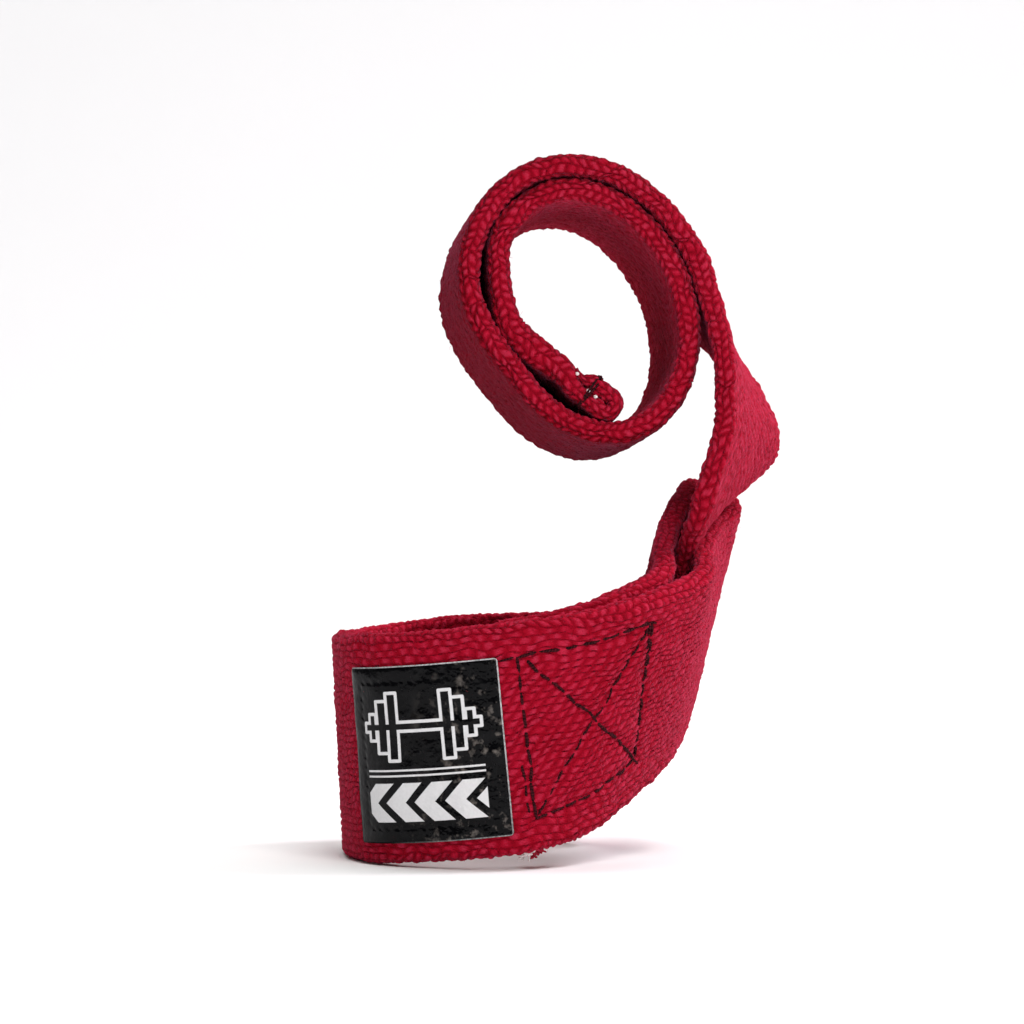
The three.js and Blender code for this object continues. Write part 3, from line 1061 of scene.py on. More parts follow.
class MeshPlan:
    """Points, faces and corner values of one mesh, put together from parts."""

    def __init__(self, attribute: str) -> None:
        """Starts an empty plan.

        Args:
            attribute: name of the vector attribute that the finish reads.
        """
        self.attribute = attribute
        self.points: list[Array] = []
        self.faces: list[Array] = []
        self.values: list[Array] = []
        self.normals: list[Array] = []
        self.maps: list[Array] = []
        self.count = 0

    def add(
        self, points: Array, faces: Array, values: Array,
        normals: Optional[Array] = None, layout: Optional[Array] = None,
    ) -> None:
        """Adds a part.

        Args:
            points: its points.
            faces: the corners of its faces, as numbers of those points.
            values: the attribute at each corner of each face.
            normals: one for each point, or None to leave them to the mesh.
            layout: place of each corner on a flat sheet, or None.
        """
        self.points.append(points.reshape(-1, 3))
        self.faces.extend(faces + self.count)
        self.values.append(values.reshape(-1, 3))
        if normals is not None:
            self.normals.append(normals.reshape(-1, 3))
        if layout is not None:
            self.maps.append(layout.reshape(-1, 2))
        self.count += len(self.points[-1])

    def build(
        self, name: str, finish: bpy.types.Material, slot: str, node: Optional[str] = None
    ) -> bpy.types.Object:
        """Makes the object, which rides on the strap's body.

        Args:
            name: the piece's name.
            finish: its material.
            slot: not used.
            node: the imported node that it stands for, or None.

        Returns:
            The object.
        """
        mesh = bpy.data.meshes.new(name)
        faces = [np.asarray(face) for face in self.faces]
        sizes = np.array([len(face) for face in faces])
        mesh.vertices.add(self.count)
        mesh.vertices.foreach_set("co", (np.vstack(self.points) * MM).astype(np.float32).ravel())
        mesh.loops.add(int(sizes.sum()))
        mesh.loops.foreach_set("vertex_index", np.concatenate(faces).astype(np.int32))
        mesh.polygons.add(len(faces))
        starts = np.concatenate([[0], np.cumsum(sizes)[:-1]])
        mesh.polygons.foreach_set("loop_start", starts.astype(np.int32))
        mesh.update(calc_edges=True)
        mesh.shade_smooth()
        stored = mesh.attributes.new(self.attribute, "FLOAT_VECTOR", "CORNER")
        stored.data.foreach_set("vector", np.vstack(self.values).astype(np.float32).ravel())
        if self.maps:
            layout = mesh.uv_layers.new(name=BAKED_LAYOUT)
            layout.uv.foreach_set("vector", np.vstack(self.maps).astype(np.float32).ravel())
        if self.normals:
            mesh.normals_split_custom_set_from_vertices(np.vstack(self.normals))
        mesh.materials.append(finish)
        piece = bpy.data.objects.new(name, mesh)
        bpy.context.scene.collection.objects.link(piece)
        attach(piece, BODY)
        if node:
            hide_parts(node)
        return piece


def corner_values(values: Array, faces: Array) -> Array:
    """Values of points, repeated for the corners of faces."""
    return values.reshape(-1, values.shape[-1])[faces.ravel()]


def tube(plan: MeshPlan, path: Array, radius: Array, sides: int) -> None:
    """Adds a thread to a plan.

    Args:
        plan: the plan.
        path: points along the thread's middle.
        radius: its radius at each point.
        sides: points round it.
    """
    count = len(path)
    run = unit(np.gradient(path, axis=0) + 1e-9)
    helper = np.where(np.abs(run[:, 2:3]) > 0.9, [[1.0, 0.0, 0.0]], [[0.0, 0.0, 1.0]])
    left = unit(np.cross(helper, run))
    upward = np.cross(run, left)
    turn = np.arange(sides + 1) * 2 * math.pi / sides
    ring = left[:, None] * np.cos(turn)[None, :, None] + upward[:, None] * np.sin(turn)[None, :, None]
    points = path[:, None] + ring[:, :sides] * np.asarray(radius)[:, None, None]
    distance = np.concatenate([[0.0], np.cumsum(np.linalg.norm(np.diff(path, axis=0), axis=1))])
    faces = grid_faces(count, sides, True)
    marks = np.stack(np.broadcast_arrays(
        distance[:, None], (np.arange(sides + 1) / sides)[None], 0.0), axis=-1)
    wrapped = marks.reshape(-1, 3)[grid_faces(count, sides + 1, False).ravel()]
    plan.add(points, faces, wrapped)
    for cap in (np.arange(sides), (count - 1) * sides + np.arange(sides)[::-1]):
        plan.faces.append(cap + plan.count - count * sides)
        plan.values.append(np.zeros((sides, 3)))


def scattered(row: Array, place: Array) -> Array:
    """A number from 0 to 1 for each pair of whole numbers, without order but the same in each run."""
    return np.mod(np.sin(row * 12.9898 + place * 78.233) * 43758.5453, 1.0)


class Stretch(Enum):
    """The webbing's pieces, each with the place where it ends as a share of the whole strip."""

    INNER_LAYER = ("webbing_inner_layer", 0.135)
    NEAR_SIDE = ("webbing_near_side", 0.355)
    FAR_SIDE = ("webbing_far_side", 0.565)
    ROLL_OUTSIDE = ("webbing_roll_outside", 0.785)
    ROLL_INSIDE = ("webbing_roll_inside", 1.0)


@dataclass(frozen=True)
class SewnLine:
    """A line of stitches on the webbing's outside, from one (distance, height) to another."""

    start: tuple[float, float]
    end: tuple[float, float]
    thickness: float = 1.0

    def gap(self, distance: Array, height: Array) -> Array:
        """How far points of the webbing's outside lie from the line."""
        start, way = np.array(self.start), np.subtract(self.end, self.start)
        off = np.stack(np.broadcast_arrays(distance - start[0], height - start[1]), axis=-1)
        share = np.clip(off @ way / (way @ way), 0.0, 1.0)
        return np.linalg.norm(off - share[..., None] * way, axis=-1)


BOX_LINES = (
    SewnLine((78.4, 12.9), (75.0, 13.2), 0.8),
    SewnLine((75.0, 13.2), (53.6, 15.1)),
    SewnLine((59.4, 14.2), (53.2, 14.7), 0.9),
    SewnLine((53.6, 15.3), (52.7, -10.1)),
    SewnLine((53.0, 14.6), (53.1, 4.0), 0.8),
    SewnLine((53.3, 14.8), (51.5, 13.9), 0.8),
    SewnLine((52.6, -10.1), (74.6, -13.4), 0.85),
    SewnLine((74.6, -13.7), (75.2, 13.5), 1.05),
    SewnLine((75.4, -13.0), (75.9, -4.0), 0.8),
    SewnLine((74.2, 12.6), (51.0, -12.1), 1.1),
    SewnLine((53.5, 14.5), (73.9, -13.0), 0.8),
)


@dataclass
class Webbing:
    """The strip itself, with its weave standing out of it."""

    layout: StrapLayout
    weave: Weave
    step: float = 0.45
    rounding: float = 1.6
    rounding_limit: float = 0.92
    face_relief: float = 0.27
    edge_relief: float = 0.37
    points_per_face_row: int = 4
    points_per_edge_row: int = 5
    run_drift: float = 0.34
    row_drift: float = 0.32
    edge_looseness: float = 0.15
    swelling: float = 0.13
    lumps: float = 0.07
    pucker: float = 0.34
    pucker_width: float = 0.85
    wall_lean: float = 2.3
    wall_lean_from: float = 3.0
    full_from: float = 0.6
    roll_from: float = 285.0
    roll_within: float = 25.0
    sheet_margin: float = 0.01

    def __post_init__(self) -> None:
        """Places the stations, draws the irregularities and works out the surface."""
        whole = self.layout.whole
        count = round(whole.distance[-1] / self.step)
        self.stations = whole.at(np.linspace(0.0, whole.distance[-1], count + 1))
        self.rows = self.row_places()
        self.along_drift = Ripple(11, 8.0, 3.0)
        self.across_drift = Ripple(12, 12.0, 4.0)
        self.swell = Ripple(13, 22.0, 6.0)
        self.lump = Ripple(14, 5.0, 2.0)
        self.points = self.surface()
        ahead = np.gradient(self.points, axis=0)
        about = np.roll(self.points, -1, axis=1) - np.roll(self.points, 1, axis=1)
        self.normals = unit(np.cross(about, ahead))

    def row_places(self) -> Array:
        """Places round the section, counted in rows of yarn."""
        places, start = [], 0
        for rows, points in (
            (self.weave.edge_rows, self.points_per_edge_row),
            (self.weave.face_rows, self.points_per_face_row),
        ) * 2:
            places.append(start + np.arange(rows * points) / points)
            start += rows
        return np.concatenate(places)

    def section(self, rows: Array) -> tuple[Array, Array, Array, Array, Array]:
        """Where points of the sections lie, before the weave.

        Args:
            rows: place round the section of each point, by station.

        Returns:
            Offsets towards the edge and the face, the same for the outward direction, and 1 on the
            edges and 0 on the faces.
        """
        route, weave = self.layout.route, self.weave
        flat = (self.stations.thickness * route.webbing / 2)[:, None]
        half = (self.stations.width * route.half_width)[:, None]
        radius = np.minimum(self.rounding, self.rounding_limit * flat)
        turning = rows % weave.half_rows
        on_edge = turning < weave.edge_rows
        side = np.where(rows % weave.rows < weave.half_rows, 1.0, -1.0)
        straight = 2 * (flat - radius)
        length = math.pi * radius + straight
        walked = turning / weave.edge_rows * length - length / 2
        bend = np.clip((np.abs(walked) - straight / 2) / radius, 0.0, math.pi / 2) * np.sign(walked)
        edge = half - radius + radius * np.cos(bend)
        face = np.clip(walked, -straight / 2, straight / 2) + radius * np.sin(bend)
        share = np.clip((turning - weave.edge_rows) / weave.face_rows, 0.0, 1.0)
        edge = np.where(on_edge, edge, (half - radius) * (1.0 - 2.0 * share))
        face = np.where(on_edge, face, flat)
        out_edge = np.where(on_edge, np.cos(bend), 0.0)
        out_face = np.where(on_edge, np.sin(bend), 1.0)
        return edge * side, face * side, out_edge * side, out_face * side, on_edge.astype(float)

    def laid(self, rows: Array) -> tuple[Array, Array, Array, Array]:
        """The webbing without its weave.

        Args:
            rows: place round the section of each point, by station.

        Returns:
            Points, outward directions, 1 on the edges and 0 on the faces, and height on the webbing.
        """
        s = self.stations
        edge, face, out_edge, out_face, on_edge = self.section(rows)
        across, facing = s.across[:, None], s.face[:, None]
        places = s.place[:, None] + across * edge[..., None] + facing * face[..., None]
        outward = unit(across * out_edge[..., None] + facing * out_face[..., None])
        return places, outward, on_edge, edge

    def leaned(self, height: Array) -> Array:
        """How far the eye's outer wall leans in on the tail, most at its upper edge.

        Args:
            height: height on the webbing of each point, by station.

        Returns:
            A distance for each point.
        """
        distance = (self.stations.distance - self.layout.main_at) / self.layout.slit
        along = smooth_step(np.sin(math.pi * np.clip(distance, 0.0, 1.0)))
        reach = self.layout.route.half_width - self.wall_lean_from
        return self.wall_lean * along[:, None] * smooth_step((height - self.wall_lean_from) / reach)

    def sewn_pull(self, height: Array) -> Array:
        """How far the sewn lines draw the outside in.

        Args:
            height: height on the webbing of each point, by station.

        Returns:
            A depth for each point.
        """
        distance = self.stations.distance - self.layout.main_at
        reach = 3 * self.pucker_width
        ends = np.array([(line.start[0], line.end[0]) for line in BOX_LINES])
        near_lines = (distance > ends.min() - reach) & (distance < ends.max() + reach)
        outside = (self.rows > self.weave.edge_rows) & (self.rows < self.weave.half_rows)
        pull = np.zeros(height.shape)
        picked = np.ix_(near_lines, outside)
        closest = np.min([
            line.gap(distance[near_lines][:, None], height[picked]) for line in BOX_LINES
        ], axis=0)
        pull[picked] = self.pucker * near(closest, self.pucker_width)
        return pull

    def surface(self) -> Array:
        """The webbing's points, by station and place round the section."""
        rows = np.tile(self.rows, (len(self.stations.distance), 1))
        smooth = self.laid(rows)[0]
        freedom = 1.0 + self.edge_looseness * (rows % self.weave.half_rows < self.weave.edge_rows)
        drifted = rows + self.row_drift * freedom * self.across_drift.at(smooth)
        places, outward, on_edge, height = self.laid(drifted)
        places = places - self.stations.face[:, None] * self.leaned(height)[..., None]
        forward = self.run_drift * freedom * self.along_drift.at(smooth)
        places = places + self.stations.run[:, None] * forward[..., None]
        run = self.stations.distance[:, None] + np.zeros_like(rows)
        number, side, along, _ = self.weave.cell(ArrayMaths, run, rows)
        fuller = 0.75 + 0.5 * scattered(number, np.floor(along))
        relief = self.face_relief + (self.edge_relief - self.face_relief) * on_edge
        weave = relief * (self.weave.height(ArrayMaths, side, along) * fuller - 0.55)
        loose = self.swelling * self.swell.at(smooth) * (0.35 + 0.65 * on_edge)
        fullness = np.minimum(1.0, self.stations.thickness / self.full_from)[:, None]
        lift = (weave + loose + self.lumps * self.lump.at(smooth)) * fullness - self.sewn_pull(height)
        return places + outward * lift[..., None]

    def roll_shade(self) -> Array:
        """Painted shade on the roll: how far each point's normal faces the roll's middle, from the roll's
        start on.
        """
        route = self.layout.route
        inward = route.place_of(*route.roll_centre) - self.points
        axis = unit(np.array(route.roll_axis))
        inward = unit(inward - (inward @ axis)[..., None] * axis)
        facing = (self.normals * inward).sum(axis=-1)
        rolled = (self.stations.distance - self.layout.main_at - self.roll_from) / self.roll_within
        return smooth_step(facing * 2.0 - 0.6) * smooth_step(rolled)[:, None]

    def build(self, finish: bpy.types.Material) -> list[bpy.types.Object]:
        """Makes the webbing's pieces.

        Args:
            finish: the cotton.

        Returns:
            The pieces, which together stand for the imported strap.
        """
        size, last = len(self.rows), len(self.points) - 1
        rows = np.append(self.rows, float(self.weave.rows))
        # The weave attribute's third number carries the roll's painted shade.
        roll_shade = self.roll_shade()
        marks = np.stack(np.broadcast_arrays(
            self.stations.distance[:, None], rows[None], np.append(roll_shade, roll_shade[:, :1], axis=1)), axis=-1)
        pieces, start = [], 0
        for stretch in Stretch:
            name, share = stretch.value
            end = round(share * last)
            part, count = slice(start, end + 1), end + 1 - start
            open_faces = grid_faces(count, size + 1, False)[:, ::-1]
            plan = MeshPlan("weave")
            plan.add(
                self.points[part], grid_faces(count, size, True)[:, ::-1],
                corner_values(marks[part], open_faces), self.normals[part],
                self.sheet(count, open_faces),
            )
            if start == 0:
                self.close(plan, np.arange(size))
            if end == last:
                self.close(plan, (count - 1) * size + np.arange(size)[::-1])
            pieces.append(plan.build(name, finish, "webbing", "strap"))
            start = end
        return pieces

    def sheet(self, count: int, faces: Array) -> Array:
        """Lays a stretch's faces out in strips on a square sheet.

        Args:
            count: stations of the stretch.
            faces: its faces, on rings with one point more than the section has.

        Returns:
            The place of each corner.
        """
        size = len(self.rows) + 1
        girth = 2 * (self.layout.route.width + self.layout.route.webbing)
        strips = max(1, round(math.sqrt(count * self.step / girth)))
        station, point = np.divmod(faces, size)
        first = station.min(axis=1, keepdims=True) / (count - 1)
        strip = np.minimum(np.floor(first * strips), strips - 1)
        u = np.clip(station / (count - 1) * strips - strip, 0.0, 1.02)
        inner = 1.0 - 2.0 * self.sheet_margin
        v = (strip + self.sheet_margin + inner * point / (size - 1)) / strips
        return np.stack([self.sheet_margin + inner * 0.98 * u, v], axis=-1)

    def close(self, plan: MeshPlan, ring: Array) -> None:
        """Caps one end of the strip.

        Args:
            plan: the plan that holds the strip's stretch.
            ring: numbers of the end's points, in order round the cap.
        """
        plan.faces.append(ring)
        plan.values.append(np.zeros((len(ring), 3)))
        plan.maps.append(np.zeros((len(ring), 2)))


@dataclass
class Label:
    """The glossy patch, curved to the webbing's outside just past the doubled stretch."""

    layout: StrapLayout
    length: float = 27.2
    height: float = 29.2
    thickness: float = 0.42
    lift: float = 0.16
    corner: float = 0.6
    setback: float = 0.8
    drop: float = 1.0
    grid: float = 0.3
    frame_inset: float = 2.5
    frame_width: float = 0.32
    groove: float = 0.13
    hole_pitch: float = 1.6
    rim_drop: float = 0.12
    rim_width: float = 0.35
    wave: float = 0.07

    def rounded(self, x: Array, up: Array) -> tuple[Array, Array]:
        """How far points move so that the label's corners are round.

        Args:
            x: place across the label, from its middle.
            up: place up the label, from its middle.

        Returns:
            The moves across and up.
        """
        u = np.clip((np.abs(x) - self.length / 2) / self.corner + 1.0, 0.0, 1.0)
        v = np.clip((np.abs(up) - self.height / 2) / self.corner + 1.0, 0.0, 1.0)
        across = self.corner * u * (np.sqrt(1.0 - v * v / 2) - 1.0)
        along = self.corner * v * (np.sqrt(1.0 - u * u / 2) - 1.0)
        return np.sign(x) * across, np.sign(up) * along

    def relief(self, x: Array, up: Array, places: Array) -> Array:
        """How high the film stands: wavy, drawn in by its sewn frame and worn down at its rim.

        Args:
            x: place across the label, from its middle.
            up: place up the label, from its middle.
            places: the same points in space.

        Returns:
            A height for each point.
        """
        inset = np.minimum(self.length / 2 - np.abs(x), self.height / 2 - np.abs(up))
        holes = 0.55 + 0.45 * np.cos(2 * math.pi * (x + up) / self.hole_pitch)
        sewn = self.groove * near(inset - self.frame_inset, self.frame_width) * holes
        wavy = self.wave * Ripple(21, 16.0, 6.0).at(places)
        return self.thickness + wavy - sewn - self.rim_drop * near(inset, self.rim_width)

    def wall(self, columns: int, lines: int) -> Array:
        """Faces between the film's two sheets, which lie one after the other in the plan."""
        around = np.concatenate([
            np.arange(columns) * lines,
            (columns - 1) * lines + np.arange(1, lines),
            np.arange(columns - 2, -1, -1) * lines + lines - 1,
            np.arange(lines - 2, 0, -1),
        ])
        after = np.roll(around, -1)
        below = columns * lines
        return np.stack([around, after, after + below, around + below], axis=1)

    def build(self, finish: bpy.types.Material) -> bpy.types.Object:
        """Makes the label.

        Args:
            finish: the film.

        Returns:
            The piece.
        """
        columns, lines = round(self.length / self.grid) + 1, round(self.height / self.grid) + 1
        along = np.linspace(0.0, self.length, columns)
        stations = self.layout.main.at(self.layout.cut + self.setback + along)
        x = (self.length / 2 - along)[:, None]
        up = np.linspace(self.height / 2, -self.height / 2, lines)[None]
        along_in, up_in = self.rounded(x, up)
        run, across, facing = stations.run[:, None], stations.across[:, None], stations.face[:, None]
        places = stations.place[:, None] + across * (up[..., None] - self.drop)
        places = places - run * along_in[..., None] + across * up_in[..., None]
        base = self.layout.route.webbing / 2 + self.lift
        top = base + self.relief(x, up, places)
        marks = np.stack(np.broadcast_arrays(x, up, 0.0), axis=-1)
        faces = grid_faces(columns, lines, False)
        plan = MeshPlan("sheet")
        plan.add(places + facing * top[..., None], faces[:, ::-1], corner_values(marks, faces[:, ::-1]))
        plan.add(places + facing * base, faces, corner_values(marks + [0.0, 0.0, 1.0], faces))
        wall = self.wall(columns, lines)[:, ::-1]
        plan.faces.extend(wall)
        plan.values.append(np.tile([0.0, 0.0, 1.0], (wall.size, 1)))
        return plan.build("label_patch", finish, "label", "label")


def stitch_arch(shares: Array) -> Array:
    """How high a stitch stands along its length, from 0 in its holes to 1."""
    return np.sin(math.pi * shares) ** 0.5


@dataclass
class BoxStitch:
    """The sewn box with its crossed diagonals that holds the doubled stretch together."""

    layout: StrapLayout
    stitch: float = 2.9
    radius: float = 0.25
    level: float = -0.2
    sink: float = 0.7
    covered: float = 0.98
    hole_stray: float = 0.12
    line_stray: float = 0.19
    height_stray: float = 0.05
    thickness_stray: float = 0.15
    unevenness: float = 0.12
    bumps: float = 19.0
    points: int = 13
    sides: int = 7
    seed: int = 31

    def build(self, finish: bpy.types.Material) -> bpy.types.Object:
        """Makes the stitches.

        Args:
            finish: the thread.

        Returns:
            The piece.
        """
        plan = MeshPlan("twist")
        draw = np.random.default_rng(self.seed)
        for line in BOX_LINES:
            self.sew(plan, line, draw)
        return plan.build("box_stitches", finish, "webbing")

    def sew(self, plan: MeshPlan, line: SewnLine, draw: np.random.Generator) -> None:
        """Adds one line of stitches.

        Args:
            plan: the plan.
            line: where it runs.
            draw: source of the small irregularities.
        """
        start, way = np.array(line.start), np.subtract(line.end, line.start)
        length = np.linalg.norm(way)
        count = max(1, round(length / self.stitch))
        sideways = np.array([-way[1], way[0]]) / length
        strays = draw.uniform(-self.hole_stray, self.hole_stray, count + 1)
        holes = (np.arange(count + 1) + strays) / count
        offsets = draw.normal(0.0, self.line_stray, count + 1)
        shares = np.linspace(0.0, 1.0, self.points)
        for k in range(count):
            along = holes[k] + (holes[k + 1] - holes[k]) * (0.5 + (shares - 0.5) * self.covered)
            beside = offsets[k] + (offsets[k + 1] - offsets[k]) * shares
            at = start + along[:, None] * way + beside[:, None] * sideways
            stations = self.layout.main.at(at[:, 0])
            top = self.layout.route.webbing / 2 * stations.thickness + self.level
            dip = self.sink * (1.0 - stitch_arch(shares))
            path = stations.point(top - dip + draw.normal(0.0, self.height_stray), at[:, 1])
            thick = draw.uniform(1.0 - self.thickness_stray, 1.0 + self.thickness_stray)
            uneven = 1.0 + self.unevenness * np.sin(shares * self.bumps + k)
            tube(plan, path, self.radius * line.thickness * thick * uneven, self.sides)


@dataclass(frozen=True)
class HemStack:
    """One place of the folded hem: its directions, and its reach on both sides of the strip's middle."""

    place: Array
    run: Array
    face: Array
    across: Array
    below: float
    above: float

    def point(self, back: Reach, inward: Reach, up: Array) -> Array:
        """Points beside the place, told by how far they lie back along the strip, inward and up."""
        back, inward = np.asarray(back)[..., None], np.asarray(inward)[..., None]
        return self.place - self.run * back - self.face * inward + self.across * up[..., None]


@dataclass
class HemTie:
    """The stitches across the hem, with the thread wrapped round its near edge and the knots' ends."""

    layout: StrapLayout
    back: float = 3.5
    radius: float = 0.34
    stitch: float = 3.3
    covered: float = 0.92
    sink: float = 0.45
    proud: float = 0.12
    sides: int = 7
    strands: tuple[float, ...] = (-0.22, 0.22)
    strand_radius: float = 0.204
    half_wrap: float = 0.62 * math.pi
    wrap_depth: float = 1.2
    wrap_reach: float = 1.55
    wrap_points: int = 25
    stitch_points: int = 11
    nubs: tuple[tuple[float, float], ...] = ((7.8, 1.6), (3.8, 1.25), (2.2, 1.2))
    nub_radius: float = 0.31
    nub_length: float = 0.95
    nub_sink: float = 0.5
    nub_curve: float = 0.25
    nub_points: int = 7
    nub_sides: int = 8

    def stack(self, back: float) -> HemStack:
        """The hem at a distance back from its fold."""
        route, main = self.layout.route, self.layout.main
        station = main.at(np.array([main.distance[-1] - back]))
        half = float(station.thickness[0]) * route.webbing / 2
        above = half + route.hem_gap + route.hem_thickness
        return HemStack(
            station.place[0], station.run[0], station.face[0], station.across[0], half, above
        )

    def wrap(self, plan: MeshPlan, stack: HemStack) -> None:
        """Adds the strands round the near edge.

        Args:
            plan: the plan.
            stack: the hem where they lie.
        """
        turn = np.linspace(-self.half_wrap, self.half_wrap, self.wrap_points)
        middle, half = (stack.above - stack.below) / 2, (stack.above + stack.below) / 2
        out = self.layout.route.half_width - self.wrap_depth + self.wrap_reach * np.cos(turn).clip(-0.4)
        inward = middle + (half + self.proud) * np.sin(turn * 0.8).clip(-1.0, 1.0)
        for number, strand in enumerate(self.strands):
            back = -(strand * (1.0 + 0.5 * np.sin(turn)) + 0.1 * number)
            path = stack.point(back, inward, -out)
            tube(plan, path, np.full(len(path), self.strand_radius), self.sides)

    def sew_across(self, plan: MeshPlan, stack: HemStack) -> None:
        """Adds the stitches on both sides.

        Args:
            plan: the plan.
            stack: the hem where they lie.
        """
        width = self.layout.route.width
        count = round(width / self.stitch)
        shares = np.linspace(0.0, 1.0, self.stitch_points)
        dip = self.sink * (1.0 - stitch_arch(shares))
        for level, way in ((stack.below, -1.0), (stack.above, 1.0)):
            for k in range(count):
                held = k + (1.0 - self.covered) / 2 + self.covered * shares
                inward = way * (level + self.proud - dip)
                path = stack.point(0.0, inward, held * width / count - width / 2)
                tube(plan, path, np.full(len(path), self.radius * 0.9), self.sides)

    def knot_end(self, plan: MeshPlan, back: float, inward: float) -> None:
        """Adds a knot's cut end, which stands out of the near edge.

        Args:
            plan: the plan.
            back: how far back from the fold it lies.
            inward: how far it lies towards the roll's middle.
        """
        shares = np.linspace(0.0, 1.0, self.nub_points)
        out = self.layout.route.half_width - self.nub_sink + self.nub_length * shares
        path = self.stack(back).point(-self.nub_curve * shares**2, inward, -out)
        blunt = 1.02 - (shares * 1.9 - 0.9).clip(0.0) ** 2
        tube(plan, path, self.nub_radius * np.sqrt(blunt.clip(0.05, 1.0)), self.nub_sides)

    def build(self, thread: bpy.types.Material, pale: bpy.types.Material) -> list[bpy.types.Object]:
        """Makes the thread and the nubs.

        Args:
            thread: finish of the thread.
            pale: finish of the nubs.

        Returns:
            The two pieces.
        """
        tie, knots = MeshPlan("twist"), MeshPlan("twist")
        stack = self.stack(self.back)
        self.wrap(tie, stack)
        self.sew_across(tie, stack)
        for back, inward in self.nubs:
            self.knot_end(knots, back, inward)
        return [tie.build("hem_stitches", thread, "webbing"), knots.build("hem_nubs", pale, "label")]


@dataclass(frozen=True)
class Tuft:
    """Threads of one kind that hang from the cut end's lower corner.

    Backs are how far from the cut they start, at least and at most. Lengths are the shortest and the
    longest. Forward is how far they stand out towards the webbing's outside.
    """

    count: int
    backs: tuple[float, float]
    radius: float
    lengths: tuple[float, float]
    forward: float = 0.0


@dataclass
class LooseThreads:
    """The frayed threads of the cut end, and the fine fibres that stand off the cotton."""

    webbing: Webbing
    end_count: int = 14
    end_points: int = 8
    end_bend: float = 0.28
    red_tufts: tuple[Tuft, ...] = (
        Tuft(34, (1.9, 4.6), 0.33, (1.7, 3.1)),
        Tuft(4, (0.3, 1.6), 0.27, (2.3, 3.0), -1.6),
    )
    pale_tuft: Tuft = Tuft(10, (0.3, 1.9), 0.27, (1.7, 2.5), 2.4)
    tuft_points: int = 9
    tuft_bend: float = 0.2
    fibre_count: int = 3600
    fibre_radius: float = 0.03
    fibre_points: int = 5
    fibre_bend: float = 0.35
    seed: int = 41

    def curl(
        self, start: Array, way: Array, length: float, count: int, bend: float, draw: np.random.Generator
    ) -> Array:
        """A curling path.

        Args:
            start: its first point.
            way: its first direction.
            length: its length.
            count: how many points it has.
            bend: how far it turns at each point.
            draw: source of the turns.

        Returns:
            The points.
        """
        path, spin = [start], draw.normal(size=3)
        for _ in range(count - 1):
            way = unit(way + bend * np.cross(way, spin) + bend * 0.5 * draw.normal(size=3))
            path.append(path[-1] + way * length / (count - 1))
        return np.array(path)

    def fray(self, finish: bpy.types.Material, core: bpy.types.Material) -> list[bpy.types.Object]:
        """The threads of the cut end, and the pale ones from its core.

        Args:
            finish: finish of the threads.
            core: finish of the pale ones.

        Returns:
            The two pieces.
        """
        draw = np.random.default_rng(self.seed)
        end = self.webbing.layout.inner.at(np.array([0.0]))
        red = MeshPlan("twist")
        for _ in range(self.end_count):
            start = end.point(draw.uniform(-1.5, 1.5), draw.uniform(-18.0, 18.0))[0]
            way = unit(-end.run[0] + 0.4 * draw.normal(size=3))
            path = self.curl(start, way, draw.uniform(0.5, 1.3), self.end_points, self.end_bend, draw)
            tube(red, path, np.linspace(0.2, 0.09, self.end_points) * draw.uniform(0.7, 1.25), 5)
        for tuft in self.red_tufts:
            self.hang(red, tuft, draw)
        pale = MeshPlan("twist")
        self.hang(pale, self.pale_tuft, draw)
        return [
            red.build("frayed_threads", finish, "webbing"), pale.build("frayed_core", core, "webbing")
        ]

    def hang(self, plan: MeshPlan, tuft: Tuft, draw: np.random.Generator) -> None:
        """Adds a tuft.

        Args:
            plan: the plan.
            tuft: the tuft.
            draw: source of its threads' differences.
        """
        layout = self.webbing.layout
        outward = layout.main.at(np.array([layout.cut])).face[0]
        for _ in range(tuft.count):
            station = layout.inner.at(np.array([draw.uniform(*tuft.backs)]))
            start = station.point(0.0, -layout.route.half_width + draw.uniform(0.0, 0.7))[0]
            start = start + outward * (tuft.forward + draw.uniform(-1.2, 1.2))
            onward = station.run[0] * draw.normal(0.15, 0.4)
            way = unit(-station.across[0] - onward + 0.15 * draw.normal(size=3))
            length = draw.uniform(*tuft.lengths)
            path = self.curl(start, way, length, self.tuft_points, self.tuft_bend, draw)
            taper = np.linspace(1.0, 0.5, self.tuft_points)
            tube(plan, path, taper * tuft.radius * draw.uniform(0.75, 1.25), 6)

    def fibres(self, finish: bpy.types.Material) -> bpy.types.Object:
        """The fine fibres that stand off the cotton.

        Args:
            finish: their finish.

        Returns:
            The piece.
        """
        draw = np.random.default_rng(self.seed + 1)
        points, normals = self.webbing.points, self.webbing.normals
        plan = MeshPlan("twist")
        stations = draw.integers(2, len(points) - 2, self.fibre_count)
        around = draw.integers(0, points.shape[1], self.fibre_count)
        for station, place in zip(stations, around):
            start, out = points[station, place], normals[station, place]
            way = unit(out * draw.uniform(0.4, 1.2) + 0.9 * draw.normal(size=3))
            way = unit(way + out * max(0.0, 0.25 - float(way @ out)))
            length = draw.uniform(0.5, 1.5)
            path = self.curl(start - out * 0.1, way, length, self.fibre_points, self.fibre_bend, draw)
            tube(plan, path, np.linspace(1.0, 0.5, self.fibre_points) * self.fibre_radius, 3)
        return plan.build("loose_fibres", finish, "webbing")


